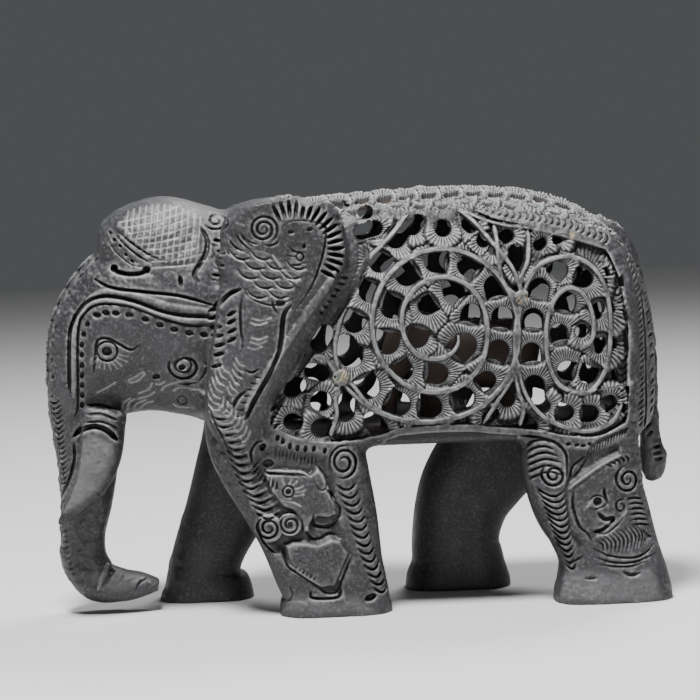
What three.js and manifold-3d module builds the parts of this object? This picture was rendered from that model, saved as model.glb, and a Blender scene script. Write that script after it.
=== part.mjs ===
// Soapstone elephant with a pierced body and a calf inside, carved from one stone.
// Millimetres, +Z up. The head points along -X, and the side shown in front is -Y.

import * as THREE from 'three';
import { mergeVertices } from 'three/addons/utils/BufferGeometryUtils.js';
import Module from 'manifold-3d';

const wasm = await Module();
wasm.setup();

// Driving sizes, each of them free to change by itself
const LENGTH = 250;          // forehead to tail
const SIDE_WALL = 6;         // stone left in the pierced sides
const ROOF = 7;              // stone left above the hollow
const FLOOR = 5.5;           // stone left under the hollow
const FRONT_WALL = 30;       // stone left between the hollow and the chest
const END_WALL = 12;         // stone left between the hollow and the rump
const EYELET = 7.6;          // length of a full-size hole of the lattice
const ROOF_EYELET = 6.4;     // length of a hole in the back
const SMALL_EYELET = 7;      // a hole shorter than this is cut with four corners, not five
const STEM_WIDTH = 3;        // width of a scroll stem
const STEM_RELIEF = 1.2;     // how far the scroll stems and the hem stand out of the leaves
const STRAP_WIDTH = 4;       // width of the straps on the head
const STRAP_RELIEF = 1.2;    // how far the straps stand out of the head

// The form is drawn on a grid of 250 units to the length
const GRID = 250;
const UNIT = LENGTH / GRID;

// Stations of a form, in grid units:
// x, z, reach to the left of its path, reach to the right, half width across
const TORSO = [
  [-64, 100, 30, 16, 24],
  [-45, 100, 61, 32, 35],
  [-20, 100, 64, 35, 39],
  [5, 100, 65.8, 35.5, 40],
  [33, 100, 66.8, 35.5, 41],
  [56, 100, 66.4, 35.5, 41],
  [79, 100, 62.6, 35.5, 40],
  [95, 100, 56, 35.5, 37.5],
  [107, 100, 46.5, 36, 33],
  [114.5, 100, 34, 35, 27],
  [119.5, 100, 20, 28, 19],
  [121.5, 100, 8, 12, 9],
];
const TORSO_POWER = [2.6, 5];
const HEAD = [
  [-38, 120, 30, 32, 22],
  [-52, 120, 41, 41, 29],
  [-68, 119, 43.5, 41, 31],
  [-84, 112, 42, 36.5, 30],
  [-97, 101, 32, 29.5, 26.5],
  [-105.5, 88, 18.5, 18.5, 19.5],
  [-108, 76, 13.4, 14.4, 15],
  [-108.2, 62, 12.4, 12.4, 13],
  [-109.4, 46, 10.6, 10.4, 11.5],
  [-111.4, 32, 9, 9, 10.5],
  [-111, 21, 9.2, 9.2, 10],
  [-105.5, 13, 8.6, 8.6, 10],
  [-97, 10.6, 6.8, 6.6, 9.5],
  [-88.5, 10.4, 5, 4.8, 8],
  [-82, 10.2, 2.4, 2.4, 5],
];
const CROWN = [
  [-46, 141.5, 12, 14, 15],
  [-58, 141.5, 18, 21, 24],
  [-74, 141.5, 20, 25.2, 27],
  [-88, 140.5, 20, 22, 24],
  [-97, 138, 13, 14, 17],
  [-101.5, 137, 4, 4, 6],
];
const EAR = [
  [-34, 163, 13, 12, 12],
  [-33, 157, 22, 20, 12],
  [-30, 148, 26.5, 25, 12],
  [-29, 133, 25, 24, 12],
  [-34, 116, 22, 22, 12],
  [-40.5, 100, 18, 18.5, 12],
  [-45.5, 85, 15, 15.5, 11],
  [-48, 73, 10.5, 11, 10],
  [-49.5, 67, 5, 5, 8],
];
const NEAR_FRONT_LEG = [
  [-30, 88, 30, 30, 15],
  [-30, 74, 31, 31, 15],
  [-27.7, 64, 29.6, 29.6, 15],
  [-22.9, 50, 26.9, 26.9, 15],
  [-18.5, 36, 24.4, 24.4, 15],
  [-14.8, 20, 22, 22, 15],
  [-12.2, 9.6, 20.8, 20.8, 14.6],
  [-12, 3, 22, 22, 15.4],
  [-12, -4, 22.5, 22.5, 15.6],
];
const FAR_FRONT_LEG = [
  [-31, 88, 30, 28, 15],
  [-33, 76, 30, 28, 15],
  [-38, 64, 25, 25, 15],
  [-46, 50, 20, 20, 15],
  [-53.5, 35, 16.5, 16.5, 14.6],
  [-60, 21, 14.6, 14.6, 14.4],
  [-62.5, 12, 15, 15, 14.4],
  [-62, 4, 18.5, 18.5, 15.4],
  [-61.8, -4, 19.5, 19.5, 15.6],
];
const HIND_LEG = [
  [86, 84, 24, 24, 15],
  [87.5, 66, 22.9, 22.9, 15],
  [87.8, 54, 23.4, 23.4, 15],
  [90, 41.6, 22.6, 22.6, 15],
  [94.1, 31, 20.9, 20.9, 14.8],
  [98.2, 20, 19.8, 19.8, 14.6],
  [100, 11, 21.2, 21.2, 14.8],
  [99, 4, 23.4, 23.4, 15.6],
  [99, -4, 23.6, 23.6, 15.8],
];
const FAR_HIND_LEG = [
  [76, 84, 24, 24, 15],
  [70, 66, 23, 23, 15],
  [58, 54, 21.5, 21.5, 15],
  [48.5, 41.6, 20, 20, 15],
  [44, 31, 18.6, 18.6, 14.8],
  [42, 20, 18, 18, 14.6],
  [42.5, 11, 19.2, 19.2, 14.8],
  [42.5, 4, 21.4, 21.4, 15.6],
  [42.5, -4, 21.8, 21.8, 15.8],
];
const LEG_OFFSET = 25.5;
const EAR_OFFSET = 34.5;
const TUSK = [
  [-101, 80, 7.4, 7.4, 7.4],
  [-101.6, 72, 6.7, 6.7, 6.7],
  [-103.6, 63, 6, 6, 6],
  [-107, 55, 4.8, 4.8, 5],
  [-111.8, 48, 3.4, 3.4, 3.8],
  [-117, 42, 1.8, 1.8, 2.2],
  [-120.4, 38.7, 0.5, 0.5, 0.7],
];
const TUSK_OFFSET = 17.5;
const TUSK_COLLAR = [
  [-100.4, 84, 7.4, 7.4, 7.2],
  [-100.8, 81.5, 9.2, 9.2, 8.8],
  [-101.3, 77, 8.8, 8.8, 8.6],
  [-101.5, 75, 7, 7, 7],
];
const EYE = [
  [-102.6, 107, 0.6, 0.6, 1],
  [-100, 107, 3, 3, 2.8],
  [-96, 107.2, 3.4, 3, 3],
  [-91.6, 107.6, 0.6, 0.6, 1],
];
const EYE_OFFSET = 24.8;
const TAIL = [
  [100, 150, 4, 4, 4],
  [110, 142, 4.6, 5, 4.6],
  [115.8, 124, 4.2, 5, 4.8],
  [120, 100, 3.6, 5, 4.8],
  [120.6, 78, 3.4, 5, 4.6],
  [121.4, 62, 3.2, 5, 4.6],
  [121.8, 54, 5, 6, 5.6],
  [120.8, 47, 4.8, 4.6, 4.4],
  [119.6, 43.5, 1.6, 1.6, 1.8],
];
const CALF_BODY = [
  [24, 99, 4, 4, 4],
  [29, 99, 11, 11, 11],
  [44, 98, 14, 13, 14],
  [60, 97, 14, 13, 14],
  [70, 95, 10, 11, 11],
  [74, 93, 3, 4, 4],
];
const CALF_HEAD = [
  [34, 104, 10, 10, 10],
  [25, 105, 12, 11, 11],
  [18, 98, 8, 7, 7],
  [14.5, 88, 4.2, 4.2, 4.4],
  [14, 78, 3.4, 3.4, 3.6],
  [14, 66, 3.4, 3.4, 3.6],
];
const CALF_LEG = [
  [0, 98, 6, 6, 5],
  [0, 84, 5.4, 5.4, 5],
  [0, 66, 5.6, 5.6, 5],
];
const CALF_STANCE = [33, 64];
const CALF_LEG_OFFSET = 8;

// Scroll stems, in grid units: centre, squeeze in x and z, and a radius for each quarter turn
const QUARTER_RADII = [46.9, 32.8, 31.2, 34.4, 27.7, 24.2, 18.4, 20, 15.6, 10.9, 5.9];
const SCROLLS = [
  { x: 32.9, z: 109.4, wide: 1, tall: 1, eyelet: 1, gap: 13.2 },
  { x: 86.1, z: 107.8, wide: -0.6, tall: 1.13, eyelet: 0.8, gap: 11.5 },
];

// Rows of single holes beside the scrolls: x, z, size as a share of a full eyelet
const LOOSE_EYELETS = [
  [-1.8, 101.9, 1.1], [-1.4, 115.2, 1], [5.1, 126.7, 1], [8.1, 138.3, 1], [16.2, 147.1, 0.9],
  [0.5, 148.3, 0.7], [8, 151, 0.8],
  [25.4, 152.6, 0.8], [35.4, 150, 0.8], [45.8, 151.2, 0.6], [52.2, 145.4, 0.7],
  [59.8, 146, 0.7], [64, 137.6, 0.9], [73, 143.4, 0.6],
  [60.4, 90.9, 0.7], [57.9, 84.3, 0.7], [51.5, 77.6, 0.8], [65.2, 76, 0.7],
  [-14.9, 95.3, 1], [-25.1, 90.9, 1], [-26.3, 77.5, 0.8], [-13.9, 76, 0.9], [-15, 85.6, 0.8],
  [-13.5, 107.5, 1], [-5, 82, 1], [4.5, 75.6, 0.9],
  [100.5, 131, 0.5], [101.5, 118.3, 0.5], [102, 104.5, 0.5], [102, 92.3, 0.5], [103.8, 79, 0.6],
];

// Holes along the back: two rows, half a step apart, in grid units
const ROOF_ROW = { start: 12, end: 88, step: 15, offset: 9 };

// Middle line of the raised hem under the pierced panel, in grid units
const HEM = [[-30, 84], [-25, 73.4], [-12.5, 70.6], [11.2, 73], [34.8, 73.4], [62.4, 72.2],
  [78.2, 70.4], [94, 70.4], [106, 75]];

// Middle line of the strap over the brow and down beside the tusk, in grid units
const STRAP = [[-62, 129], [-79, 132], [-92, 134.4], [-101, 131], [-108, 122], [-111, 108], [-112, 92],
  [-111, 80]];

// Curve through some columns of a table, in equal steps of its parameter
function curveThrough(rows, first, second, third) {
  const points = rows.map((row) => new THREE.Vector3(row[first], row[second], row[third] ?? 0));
  return new THREE.CatmullRomCurve3(points, false, 'catmullrom', 0.5);
}

// Coordinate on an oval of unit size: power 2 is an ellipse, and a higher one is squarer
function oval(value, power) {
  return Math.sign(value) * Math.abs(value) ** (2 / power);
}

// Closed manifold-3d solid from a geometry whose seams are still open
function toSolid(geometry) {
  const bare = geometry.index ? geometry.toNonIndexed() : geometry.clone();
  bare.deleteAttribute('normal');
  bare.deleteAttribute('uv');
  const merged = mergeVertices(bare, 1e-5);
  return new wasm.Manifold(new wasm.Mesh({
    numProp: 3,
    vertProperties: new Float32Array(merged.attributes.position.array),
    triVerts: new Uint32Array(merged.index.array),
  }));
}

// Geometry of a finished solid, with flat faces
function toGeometry(solid) {
  const mesh = solid.getMesh();
  const geometry = new THREE.BufferGeometry();
  geometry.setAttribute('position', new THREE.BufferAttribute(new Float32Array(mesh.vertProperties), 3));
  geometry.setIndex(new THREE.BufferAttribute(new Uint32Array(mesh.triVerts), 1));
  const faceted = geometry.toNonIndexed();
  faceted.computeVertexNormals();
  return faceted;
}

function joined(solids) {
  return solids.reduce((whole, solid) => whole.add(solid));
}

// Solid swept along a path in the side view, with an oval section at every step.
// The path's left is the first reach. Table values are in grid units, grow and offset in mm.
function sweep(stations, { offset = 0, sides = 12, steps = 12, power = [2.2, 2.2], grow = [0, 0, 0] } = {}) {
  const path = curveThrough(stations, 0, 1);
  const sizes = curveThrough(stations, 2, 3, 4);
  const positions = [];
  for (let step = 0; step <= steps; step += 1) {
    const centre = path.getPoint(step / steps);
    const ahead = path.getTangent(step / steps);
    const size = sizes.getPoint(step / steps);
    for (let side = 0; side < sides; side += 1) {
      const angle = (2 * Math.PI * side) / sides;
      const toLeft = Math.cos(angle) >= 0;
      const bend = toLeft ? power[0] : power[1];
      const reach = toLeft ? size.x * UNIT + grow[0] : size.y * UNIT + grow[1];
      const inView = reach * oval(Math.cos(angle), bend);
      const across = (size.z * UNIT + grow[2]) * oval(Math.sin(angle), bend);
      positions.push(centre.x * UNIT - ahead.y * inView, offset + across, centre.y * UNIT + ahead.x * inView);
    }
  }
  const indices = [];
  for (let step = 0; step < steps; step += 1) {
    for (let side = 0; side < sides; side += 1) {
      const next = (side + 1) % sides;
      const here = step * sides;
      const there = here + sides;
      indices.push(here + side, there + side, there + next, here + side, there + next, here + next);
    }
  }
  const last = steps * sides;
  for (let side = 1; side < sides - 1; side += 1) {
    indices.push(0, side, side + 1, last, last + side + 1, last + side);
  }
  const geometry = new THREE.BufferGeometry();
  geometry.setAttribute('position', new THREE.Float32BufferAttribute(positions, 3));
  geometry.setIndex(indices);
  return toSolid(geometry);
}

// Block between two corners
function block(low, high) {
  const size = high.map((value, axis) => value - low[axis]);
  const geometry = new THREE.BoxGeometry(...size);
  geometry.translate(...low.map((value, axis) => value + size[axis] / 2));
  return toSolid(geometry);
}

function extruded(outline, depth) {
  return new THREE.ExtrudeGeometry(new THREE.Shape(outline), { depth, bevelEnabled: false });
}

// Prism through the whole width of the figure, from an outline in the side view
function crossPrism(outline, halfDepth) {
  const geometry = extruded(outline, 2 * halfDepth);
  geometry.rotateX(Math.PI / 2);
  geometry.translate(0, halfDepth, 0);
  return toSolid(geometry);
}

// Hole outline with few corners, longer along its heading
function eyeletOutline(x, z, length, heading) {
  const corners = [];
  const count = length < SMALL_EYELET ? 4 : 5;
  for (let corner = 0; corner < count; corner += 1) {
    const angle = (2 * Math.PI * corner) / count;
    const along = (length / 2) * Math.cos(angle);
    const beside = (length / 2) * 0.92 * Math.sin(angle);
    corners.push(new THREE.Vector2(
      x + along * Math.cos(heading) - beside * Math.sin(heading),
      z + along * Math.sin(heading) + beside * Math.cos(heading),
    ));
  }
  return corners;
}

// Band of even width along a line in the side view
function bandOutline(points, width) {
  const left = [];
  const right = [];
  points.forEach((point, index) => {
    const before = points[Math.max(index - 1, 0)];
    const after = points[Math.min(index + 1, points.length - 1)];
    const heading = after.clone().sub(before).normalize();
    const aside = new THREE.Vector2(-heading.y, heading.x).multiplyScalar(width / 2);
    left.push(point.clone().add(aside));
    right.unshift(point.clone().sub(aside));
  });
  return [...left, ...right];
}

// Radius of the scroll stem after so many degrees from its root
const stemCurve = curveThrough(QUARTER_RADII.map((radius) => [radius]), 0);
const stemSweep = 90 * (QUARTER_RADII.length - 1);
function stemRadius(degrees) {
  return stemCurve.getPoint(Math.min(degrees / stemSweep, 1)).x;
}

// Point of a scroll in the side view, in mm, from a radius in grid units
function scrollPoint(scroll, degrees, radius) {
  const angle = THREE.MathUtils.degToRad(degrees - 180);
  return new THREE.Vector2(
    (scroll.x + scroll.wide * radius * Math.cos(angle)) * UNIT,
    (scroll.z + scroll.tall * radius * Math.sin(angle)) * UNIT,
  );
}

// Holes between the windings of one scroll, in even steps along the band
function scrollEyelets(scroll) {
  const outlines = [];
  let degrees = 33;
  while (degrees < stemSweep - 180) {
    const outer = stemRadius(degrees);
    const inner = degrees + 360 < stemSweep ? stemRadius(degrees + 360) : 0.1 * outer;
    const middle = (outer + inner) / 2;
    const place = scrollPoint(scroll, degrees, middle);
    const heading = scrollPoint(scroll, degrees + 5, middle).sub(place).angle();
    outlines.push(eyeletOutline(place.x, place.y, EYELET * scroll.eyelet, heading));
    degrees += THREE.MathUtils.radToDeg(scroll.gap / (middle * Math.sqrt(Math.abs(scroll.wide * scroll.tall))));
  }
  return outlines;
}

function scrollStem(scroll) {
  const points = [];
  for (let degrees = 30; degrees <= stemSweep - 150; degrees += 34) {
    points.push(scrollPoint(scroll, degrees, stemRadius(degrees)));
  }
  return bandOutline(points, STEM_WIDTH);
}

function linePoints(rows, count) {
  const curve = curveThrough(rows, 0, 1);
  return Array.from({ length: count + 1 }, (_, index) => {
    const point = curve.getPoint(index / count);
    return new THREE.Vector2(point.x * UNIT, point.y * UNIT);
  });
}

// Outlines of two rows of holes along the back, in the view from above
function roofEyelets() {
  const outlines = [];
  for (let x = ROOF_ROW.start; x <= ROOF_ROW.end; x += ROOF_ROW.step) {
    for (const side of [-1, 1]) {
      const shift = side > 0 ? ROOF_ROW.step / 2 : 0;
      outlines.push(eyeletOutline((x + shift) * UNIT, side * ROOF_ROW.offset * UNIT, ROOF_EYELET, 0));
    }
  }
  return outlines;
}

// Prism that stands on a level of the figure
function uprightPrism(outline, from, to) {
  const geometry = extruded(outline, to - from);
  geometry.translate(0, 0, from);
  return toSolid(geometry);
}

const halfDepth = 60 * UNIT;
const torsoForm = { sides: 14, steps: 11, power: TORSO_POWER };
const torso = sweep(TORSO, torsoForm);
const torsoSkin = sweep(TORSO, { ...torsoForm, grow: [STEM_RELIEF, STEM_RELIEF, STEM_RELIEF] });
const headForm = { sides: 12, steps: 18, power: [2.4, 2.4] };
const head = sweep(HEAD, headForm);
const headSkin = sweep(HEAD, { ...headForm, grow: [STRAP_RELIEF, STRAP_RELIEF, STRAP_RELIEF] });

// Raised lines that follow the skin below them
const stems = SCROLLS.map((scroll) => crossPrism(scrollStem(scroll), halfDepth).intersect(torsoSkin));
const hem = crossPrism(bandOutline(linePoints(HEM, 12), STEM_WIDTH), halfDepth).intersect(torsoSkin);
const strap = crossPrism(bandOutline(linePoints(STRAP, 9), STRAP_WIDTH), halfDepth).intersect(headSkin);

const legForm = { sides: 10, steps: 9, power: [3, 3] };
const legOffset = LEG_OFFSET * UNIT;
const forms = [
  torso,
  head,
  ...stems,
  hem,
  strap,
  sweep(CROWN, { sides: 10, steps: 6 }),
  sweep(NEAR_FRONT_LEG, { ...legForm, offset: -legOffset }),
  sweep(FAR_FRONT_LEG, { ...legForm, offset: legOffset }),
  sweep(HIND_LEG, { ...legForm, offset: -legOffset }),
  sweep(FAR_HIND_LEG, { ...legForm, offset: legOffset }),
  sweep(TAIL, { sides: 6, steps: 11 }),
  ...[-1, 1].flatMap((side) => [
    sweep(EAR, { sides: 10, steps: 9, power: [3, 3], offset: side * EAR_OFFSET * UNIT }),
    sweep(TUSK, { sides: 8, steps: 6, offset: side * TUSK_OFFSET * UNIT }),
    sweep(TUSK_COLLAR, { sides: 8, steps: 3, offset: side * TUSK_OFFSET * UNIT }),
    sweep(EYE, { sides: 6, steps: 3, offset: side * EYE_OFFSET * UNIT }),
  ]),
];

// Hollow of the body, kept away from the skin by its walls
const chest = TORSO[0][0] * UNIT;
const rump = TORSO.at(-1)[0] * UNIT;
const core = sweep(TORSO, { sides: 10, steps: 7, power: TORSO_POWER, grow: [-ROOF, -FLOOR, -SIDE_WALL] });
const keptCore = block([chest + FRONT_WALL, -halfDepth, 0], [rump - END_WALL, halfDepth, LENGTH]);
const hollow = core.intersect(keptCore);

const eyelets = [
  ...SCROLLS.flatMap(scrollEyelets),
  ...LOOSE_EYELETS.map(([x, z, size]) => eyeletOutline(x * UNIT, z * UNIT, EYELET * size, Math.PI / 6)),
];
const lattice = joined([
  ...eyelets.map((outline) => crossPrism(outline, halfDepth)),
  ...roofEyelets().map((outline) => uprightPrism(outline, 130 * UNIT, LENGTH)),
]);

// The calf stands in the hollow, in one with its floor
const calfForm = { sides: 8, steps: 6 };
const calfLegs = CALF_STANCE.flatMap((x) => [-1, 1].map((side) => sweep(
  CALF_LEG.map(([shift, ...rest]) => [x + shift, ...rest]),
  { sides: 6, steps: 2, offset: side * CALF_LEG_OFFSET * UNIT },
)));
const calf = joined([sweep(CALF_BODY, calfForm), sweep(CALF_HEAD, calfForm), ...calfLegs]);

const ground = block([-LENGTH, -LENGTH, -LENGTH], [LENGTH, LENGTH, 0]);
const carved = joined(forms).subtract(hollow).subtract(lattice).add(calf).subtract(ground);

const stone = new THREE.MeshStandardMaterial({ color: 0x5a5b5d, roughness: 0.6, metalness: 0 });
const elephant = new THREE.Mesh(toGeometry(carved), stone);
elephant.name = 'elephant';

// The part's origin is the middle of its box, on the ground
elephant.geometry.computeBoundingBox();
const middle = elephant.geometry.boundingBox.getCenter(new THREE.Vector3());
elephant.position.set(-middle.x, -middle.y, 0);

const group = new THREE.Group();
group.add(elephant);

export default group;
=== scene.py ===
"""Looks of the pierced soapstone elephant: its carved stone and finish, the floor, lights and camera.

The stone is a block of cells, cut with relief that is drawn on flat sheets. Its lengths are grid units, 250
to the figure's length, and lines on the near side are drawn in the picture's pixels.
"""

import math

import bpy
import numpy as np
import openvdb
from mathutils import Matrix, Vector


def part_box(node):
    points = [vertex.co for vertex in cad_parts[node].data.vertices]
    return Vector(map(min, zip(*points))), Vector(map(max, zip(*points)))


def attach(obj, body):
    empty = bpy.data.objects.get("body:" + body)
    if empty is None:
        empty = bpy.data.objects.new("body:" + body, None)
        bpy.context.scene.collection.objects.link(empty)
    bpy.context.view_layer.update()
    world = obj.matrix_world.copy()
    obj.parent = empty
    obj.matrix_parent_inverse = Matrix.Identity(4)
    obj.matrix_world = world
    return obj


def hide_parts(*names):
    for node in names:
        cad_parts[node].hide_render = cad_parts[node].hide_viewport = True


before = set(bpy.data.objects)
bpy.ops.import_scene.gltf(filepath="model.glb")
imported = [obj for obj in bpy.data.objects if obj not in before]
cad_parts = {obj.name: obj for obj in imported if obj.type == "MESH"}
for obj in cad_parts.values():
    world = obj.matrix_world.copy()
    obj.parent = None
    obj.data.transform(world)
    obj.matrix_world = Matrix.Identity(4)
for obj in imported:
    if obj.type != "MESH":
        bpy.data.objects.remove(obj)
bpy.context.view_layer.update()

# The solid that the carved stone replaces, and its ends along x, in grid units
NODE = "elephant"
DRAWN_NOSE = -122.94
DRAWN_TAIL = 126.58
low_corner, high_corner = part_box(NODE)
UNIT = (high_corner.x - low_corner.x) / (DRAWN_TAIL - DRAWN_NOSE)
ORIGIN_X = low_corner.x / UNIT - DRAWN_NOSE

# Thickness of the stone round the hollow, in grid units
SIDE_WALL = 6.0
ROOF = 7.0
FLOOR = 5.5
FRONT_WALL = 30.0
END_WALL = 12.0

# Cells of the block and of the sheets, in grid units, and the most triangles in each half
CELL = 0.4
PEN_CELL = 0.2
NEAR_FACES = 752_000
FAR_FACES = 188_000
BLOCK_LOW = (-126, -48, -1.5)
BLOCK_HIGH = (130, 48, 169.5)
MIDDLE_REACH = 1.5
OVERLAP = 0.3
EMPTY = 9.0

# Steps along a form's path, and how deep under and high over the plain skin the relief reaches
PATH_STEPS = 140
SKIN = (-3.4, 1.2)

# One picture pixel on the elephant, and the even depths at which each region's lines are read
PIXEL = 0.4
BODY_DEPTH = 40.5
HEAD_DEPTH = 28.0
EAR_DEPTH = 46.0
TAIL_DEPTH = 6.0

# Where each sheet is read: from where to where the skin's facing, height or place brings it in
SIDE_FACING = (0.28, 0.5)
TOP_FACING = (0.6, 0.74)
TOP_HEIGHT = (125, 140)
TOP_START = (-32, -28)
FRONT_FACING = (0.3, 0.5)
FRONT_EDGE = (0.5, 0.75)
FRONT_END = -70
BACK_FACING = (0.4, 0.6)
BACK_START = 85
BACK_FOOT = 40

# The legs' relief on the far side: its top, and the line x = FAR_SPLIT - FAR_SLANT z between front and hind
FAR_LEGS_TOP = 66
FAR_SPLIT = 2
FAR_SLANT = 0.25

# Where the eyes are cut: off the middle for the side walls, and above a height for the roof
WALL_START = 8
ROOF_HALF = 17
EYES_FOOT = 125
ROOF_FOOT = 142
CUT_REACH = 4

# Depths in the stone over which the skin's marks end and the painted shade of the hollow starts
SKIN_FADE = (2.2, 4.2)
INSIDE_SHADE_FADE = (1.8, 4.6)
SLOPE_STEP = 0.8
# How much paler the skin is made where it faces up
UPWARD_PALING = 0.1

# Where the calf's own colour is: x from and to, half width, and height from
CALF_PLACE = (5, 80, 15.5, 68)

# The camera that the photograph was read with: angles in degrees, lengths in grid units
PICTURE = 700
FOCAL_PIXELS = 2719.0
CAMERA_TURN = -4.0
CAMERA_RISE = 4.0
CAMERA_ROLL = 2.1
CAMERA_AWAY = 1100.0
CAMERA_AIM = (-0.8, 1.3, 101.7)

# Stations of a form: x, z, reach to the left of its path, reach to the right, half width across
TORSO = [
    (-64, 100, 30, 16, 24),
    (-45, 100, 61, 32, 35),
    (-20, 100, 64, 35, 39),
    (5, 100, 65.8, 35.5, 40),
    (33, 100, 66.8, 35.5, 41),
    (56, 100, 66.4, 35.5, 41),
    (79, 100, 62.6, 35.5, 40),
    (95, 100, 56, 35.5, 37.5),
    (107, 100, 46.5, 36, 33),
    (114.5, 100, 34, 35, 27),
    (119.5, 100, 20, 28, 19),
    (121.5, 100, 8, 12, 9),
]
TORSO_POWER = (2.6, 5.0)
HEAD = [
    (-38, 120, 30, 32, 22),
    (-52, 120, 41, 41, 29),
    (-68, 119, 43.5, 41, 31),
    (-84, 112, 42, 36.5, 30),
    (-97, 101, 32, 29.5, 26.5),
    (-105.5, 88, 18.5, 18.5, 19.5),
    (-108, 76, 13.4, 14.4, 15),
    (-108.2, 62, 12.4, 12.4, 13),
    (-109.4, 46, 10.6, 10.4, 11.5),
    (-111.4, 32, 9, 9, 10.5),
    (-111, 21, 9.2, 9.2, 10),
    (-105.5, 13, 8.6, 8.6, 10),
    (-97, 10.6, 6.8, 6.6, 9.5),
    (-88.5, 10.4, 5, 4.8, 8),
    (-82, 10.2, 2.4, 2.4, 5),
]
CROWN = [
    (-46, 141.5, 12, 14, 15),
    (-58, 141.5, 18, 21, 24),
    (-74, 141.5, 20, 25.2, 27),
    (-88, 140.5, 20, 22, 24),
    (-97, 138, 13, 14, 17),
    (-101.5, 137, 4, 4, 6),
]
EAR = [
    (-34, 163, 13, 12, 12),
    (-33, 157, 22, 20, 12),
    (-30, 148, 26.5, 25, 12),
    (-29, 133, 25, 24, 12),
    (-34, 116, 22, 22, 12),
    (-40.5, 100, 18, 18.5, 12),
    (-45.5, 85, 15, 15.5, 11),
    (-48, 73, 10.5, 11, 10),
    (-49.5, 67, 5, 5, 8),
]
NEAR_FRONT_LEG = [
    (-30, 88, 30, 30, 15),
    (-30, 74, 31, 31, 15),
    (-27.7, 64, 29.6, 29.6, 15),
    (-22.9, 50, 26.9, 26.9, 15),
    (-18.5, 36, 24.4, 24.4, 15),
    (-14.8, 20, 22, 22, 15),
    (-12.2, 9.6, 20.8, 20.8, 14.6),
    (-12, 3, 22, 22, 15.4),
    (-12, -4, 22.5, 22.5, 15.6),
]
FAR_FRONT_LEG = [
    (-31, 88, 30, 28, 15),
    (-33, 76, 30, 28, 15),
    (-38, 64, 25, 25, 15),
    (-46, 50, 20, 20, 15),
    (-53.5, 35, 16.5, 16.5, 14.6),
    (-60, 21, 14.6, 14.6, 14.4),
    (-62.5, 12, 15, 15, 14.4),
    (-62, 4, 18.5, 18.5, 15.4),
    (-61.8, -4, 19.5, 19.5, 15.6),
]
HIND_LEG = [
    (86, 84, 24, 24, 15),
    (87.5, 66, 22.9, 22.9, 15),
    (87.8, 54, 23.4, 23.4, 15),
    (90, 41.6, 22.6, 22.6, 15),
    (94.1, 31, 20.9, 20.9, 14.8),
    (97.4, 20, 20.0, 20.0, 14.6),
    (98.7, 11, 21.7, 21.7, 14.8),
    (99, 4, 23.3, 23.3, 15.5),
    (99, -4, 23.6, 23.6, 15.8),
]
FAR_HIND_LEG = [
    (76, 84, 24, 24, 15),
    (70, 66, 23, 23, 15),
    (58, 54, 21.5, 21.5, 15),
    (48.5, 41.6, 20, 20, 15),
    (44, 31, 18.6, 18.6, 14.8),
    (42, 20, 18, 18, 14.6),
    (42.5, 11, 19.2, 19.2, 14.8),
    (42.5, 4, 21.4, 21.4, 15.6),
    (42.5, -4, 21.8, 21.8, 15.8),
]
LEG_POWER = (3.0, 3.0)
EAR_POWER = (2.5, 2.5)
LEG_OFFSET = 25.5
EAR_OFFSET = 34.5
TUSK = [
    (-101, 80, 8.2, 8.2, 7.8),
    (-101.4, 73, 8.6, 8.4, 8.2),
    (-103, 64, 8.2, 8, 8),
    (-106.4, 55.5, 6.8, 6.6, 6.8),
    (-111.4, 48.4, 4.8, 4.6, 5),
    (-116.6, 42.4, 2.6, 2.5, 3),
    (-120.2, 38.9, 0.6, 0.6, 0.8),
]
TUSK_OFFSET = 18.3
TUSK_COLLAR = [
    (-100.4, 84, 7.4, 7.4, 7.2),
    (-100.8, 81.5, 9.2, 9.2, 8.8),
    (-101.3, 77, 8.8, 8.8, 8.6),
    (-101.5, 75, 7, 7, 7),
]
TAIL = [
    (100, 150, 4, 4, 4),
    (110, 142, 4.6, 5, 4.6),
    (115.8, 124, 4.2, 5, 4.8),
    (120, 100, 3.6, 5, 4.8),
    (120.6, 78, 3.4, 5, 4.6),
    (121.4, 62, 3.2, 5, 4.6),
    (121.8, 54, 5, 6, 5.6),
    (120.8, 47, 4.8, 4.6, 4.4),
    (119.6, 43.5, 1.6, 1.6, 1.8),
]
CALF_BODY = [
    (24, 99, 4, 4, 4),
    (29, 99, 11, 11, 11),
    (44, 98, 14, 13, 14),
    (60, 97, 14, 13, 14),
    (70, 95, 10, 11, 11),
    (74, 93, 3, 4, 4),
]
CALF_HEAD = [
    (34, 104, 10, 10, 10),
    (25, 105, 12, 11, 11),
    (18, 98, 8, 7, 7),
    (14.5, 88, 4.2, 4.2, 4.4),
    (14, 78, 3.4, 3.4, 3.6),
    (14, 66, 3.4, 3.4, 3.6),
]
CALF_LEG = [
    (0, 98, 6, 6, 5),
    (0, 84, 5.4, 5.4, 5),
    (0, 66, 5.6, 5.6, 5),
]
CALF_STANCE = (33, 64)
CALF_LEG_OFFSET = 8
ROUND = (2.2, 2.2)
HEAD_POWER = (2.4, 2.4)


def spline(rows, count):
    """Points of a smooth curve through the rows, in even steps of its parameter."""
    rows = np.asarray(rows, float)
    padded = np.vstack([2 * rows[0] - rows[1], rows, 2 * rows[-1] - rows[-2]])
    place = np.linspace(0, len(rows) - 1, count + 1)
    index = np.minimum(place.astype(int), len(rows) - 2)
    part = (place - index)[:, None]
    before, here, after, later = (padded[index + step] for step in range(4))
    leave = (after - before) / 2
    arrive = (later - here) / 2
    square = 3 * (after - here) - 2 * leave - arrive
    cube = 2 * (here - after) + leave + arrive
    return here + leave * part + square * part**2 + cube * part**3


def smoothstep(value, low, high):
    """From 0 at the low value to 1 at the high one, level at both."""
    part = np.clip((value - low) / (high - low), 0, 1)
    return part * part * (3 - 2 * part)


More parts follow.
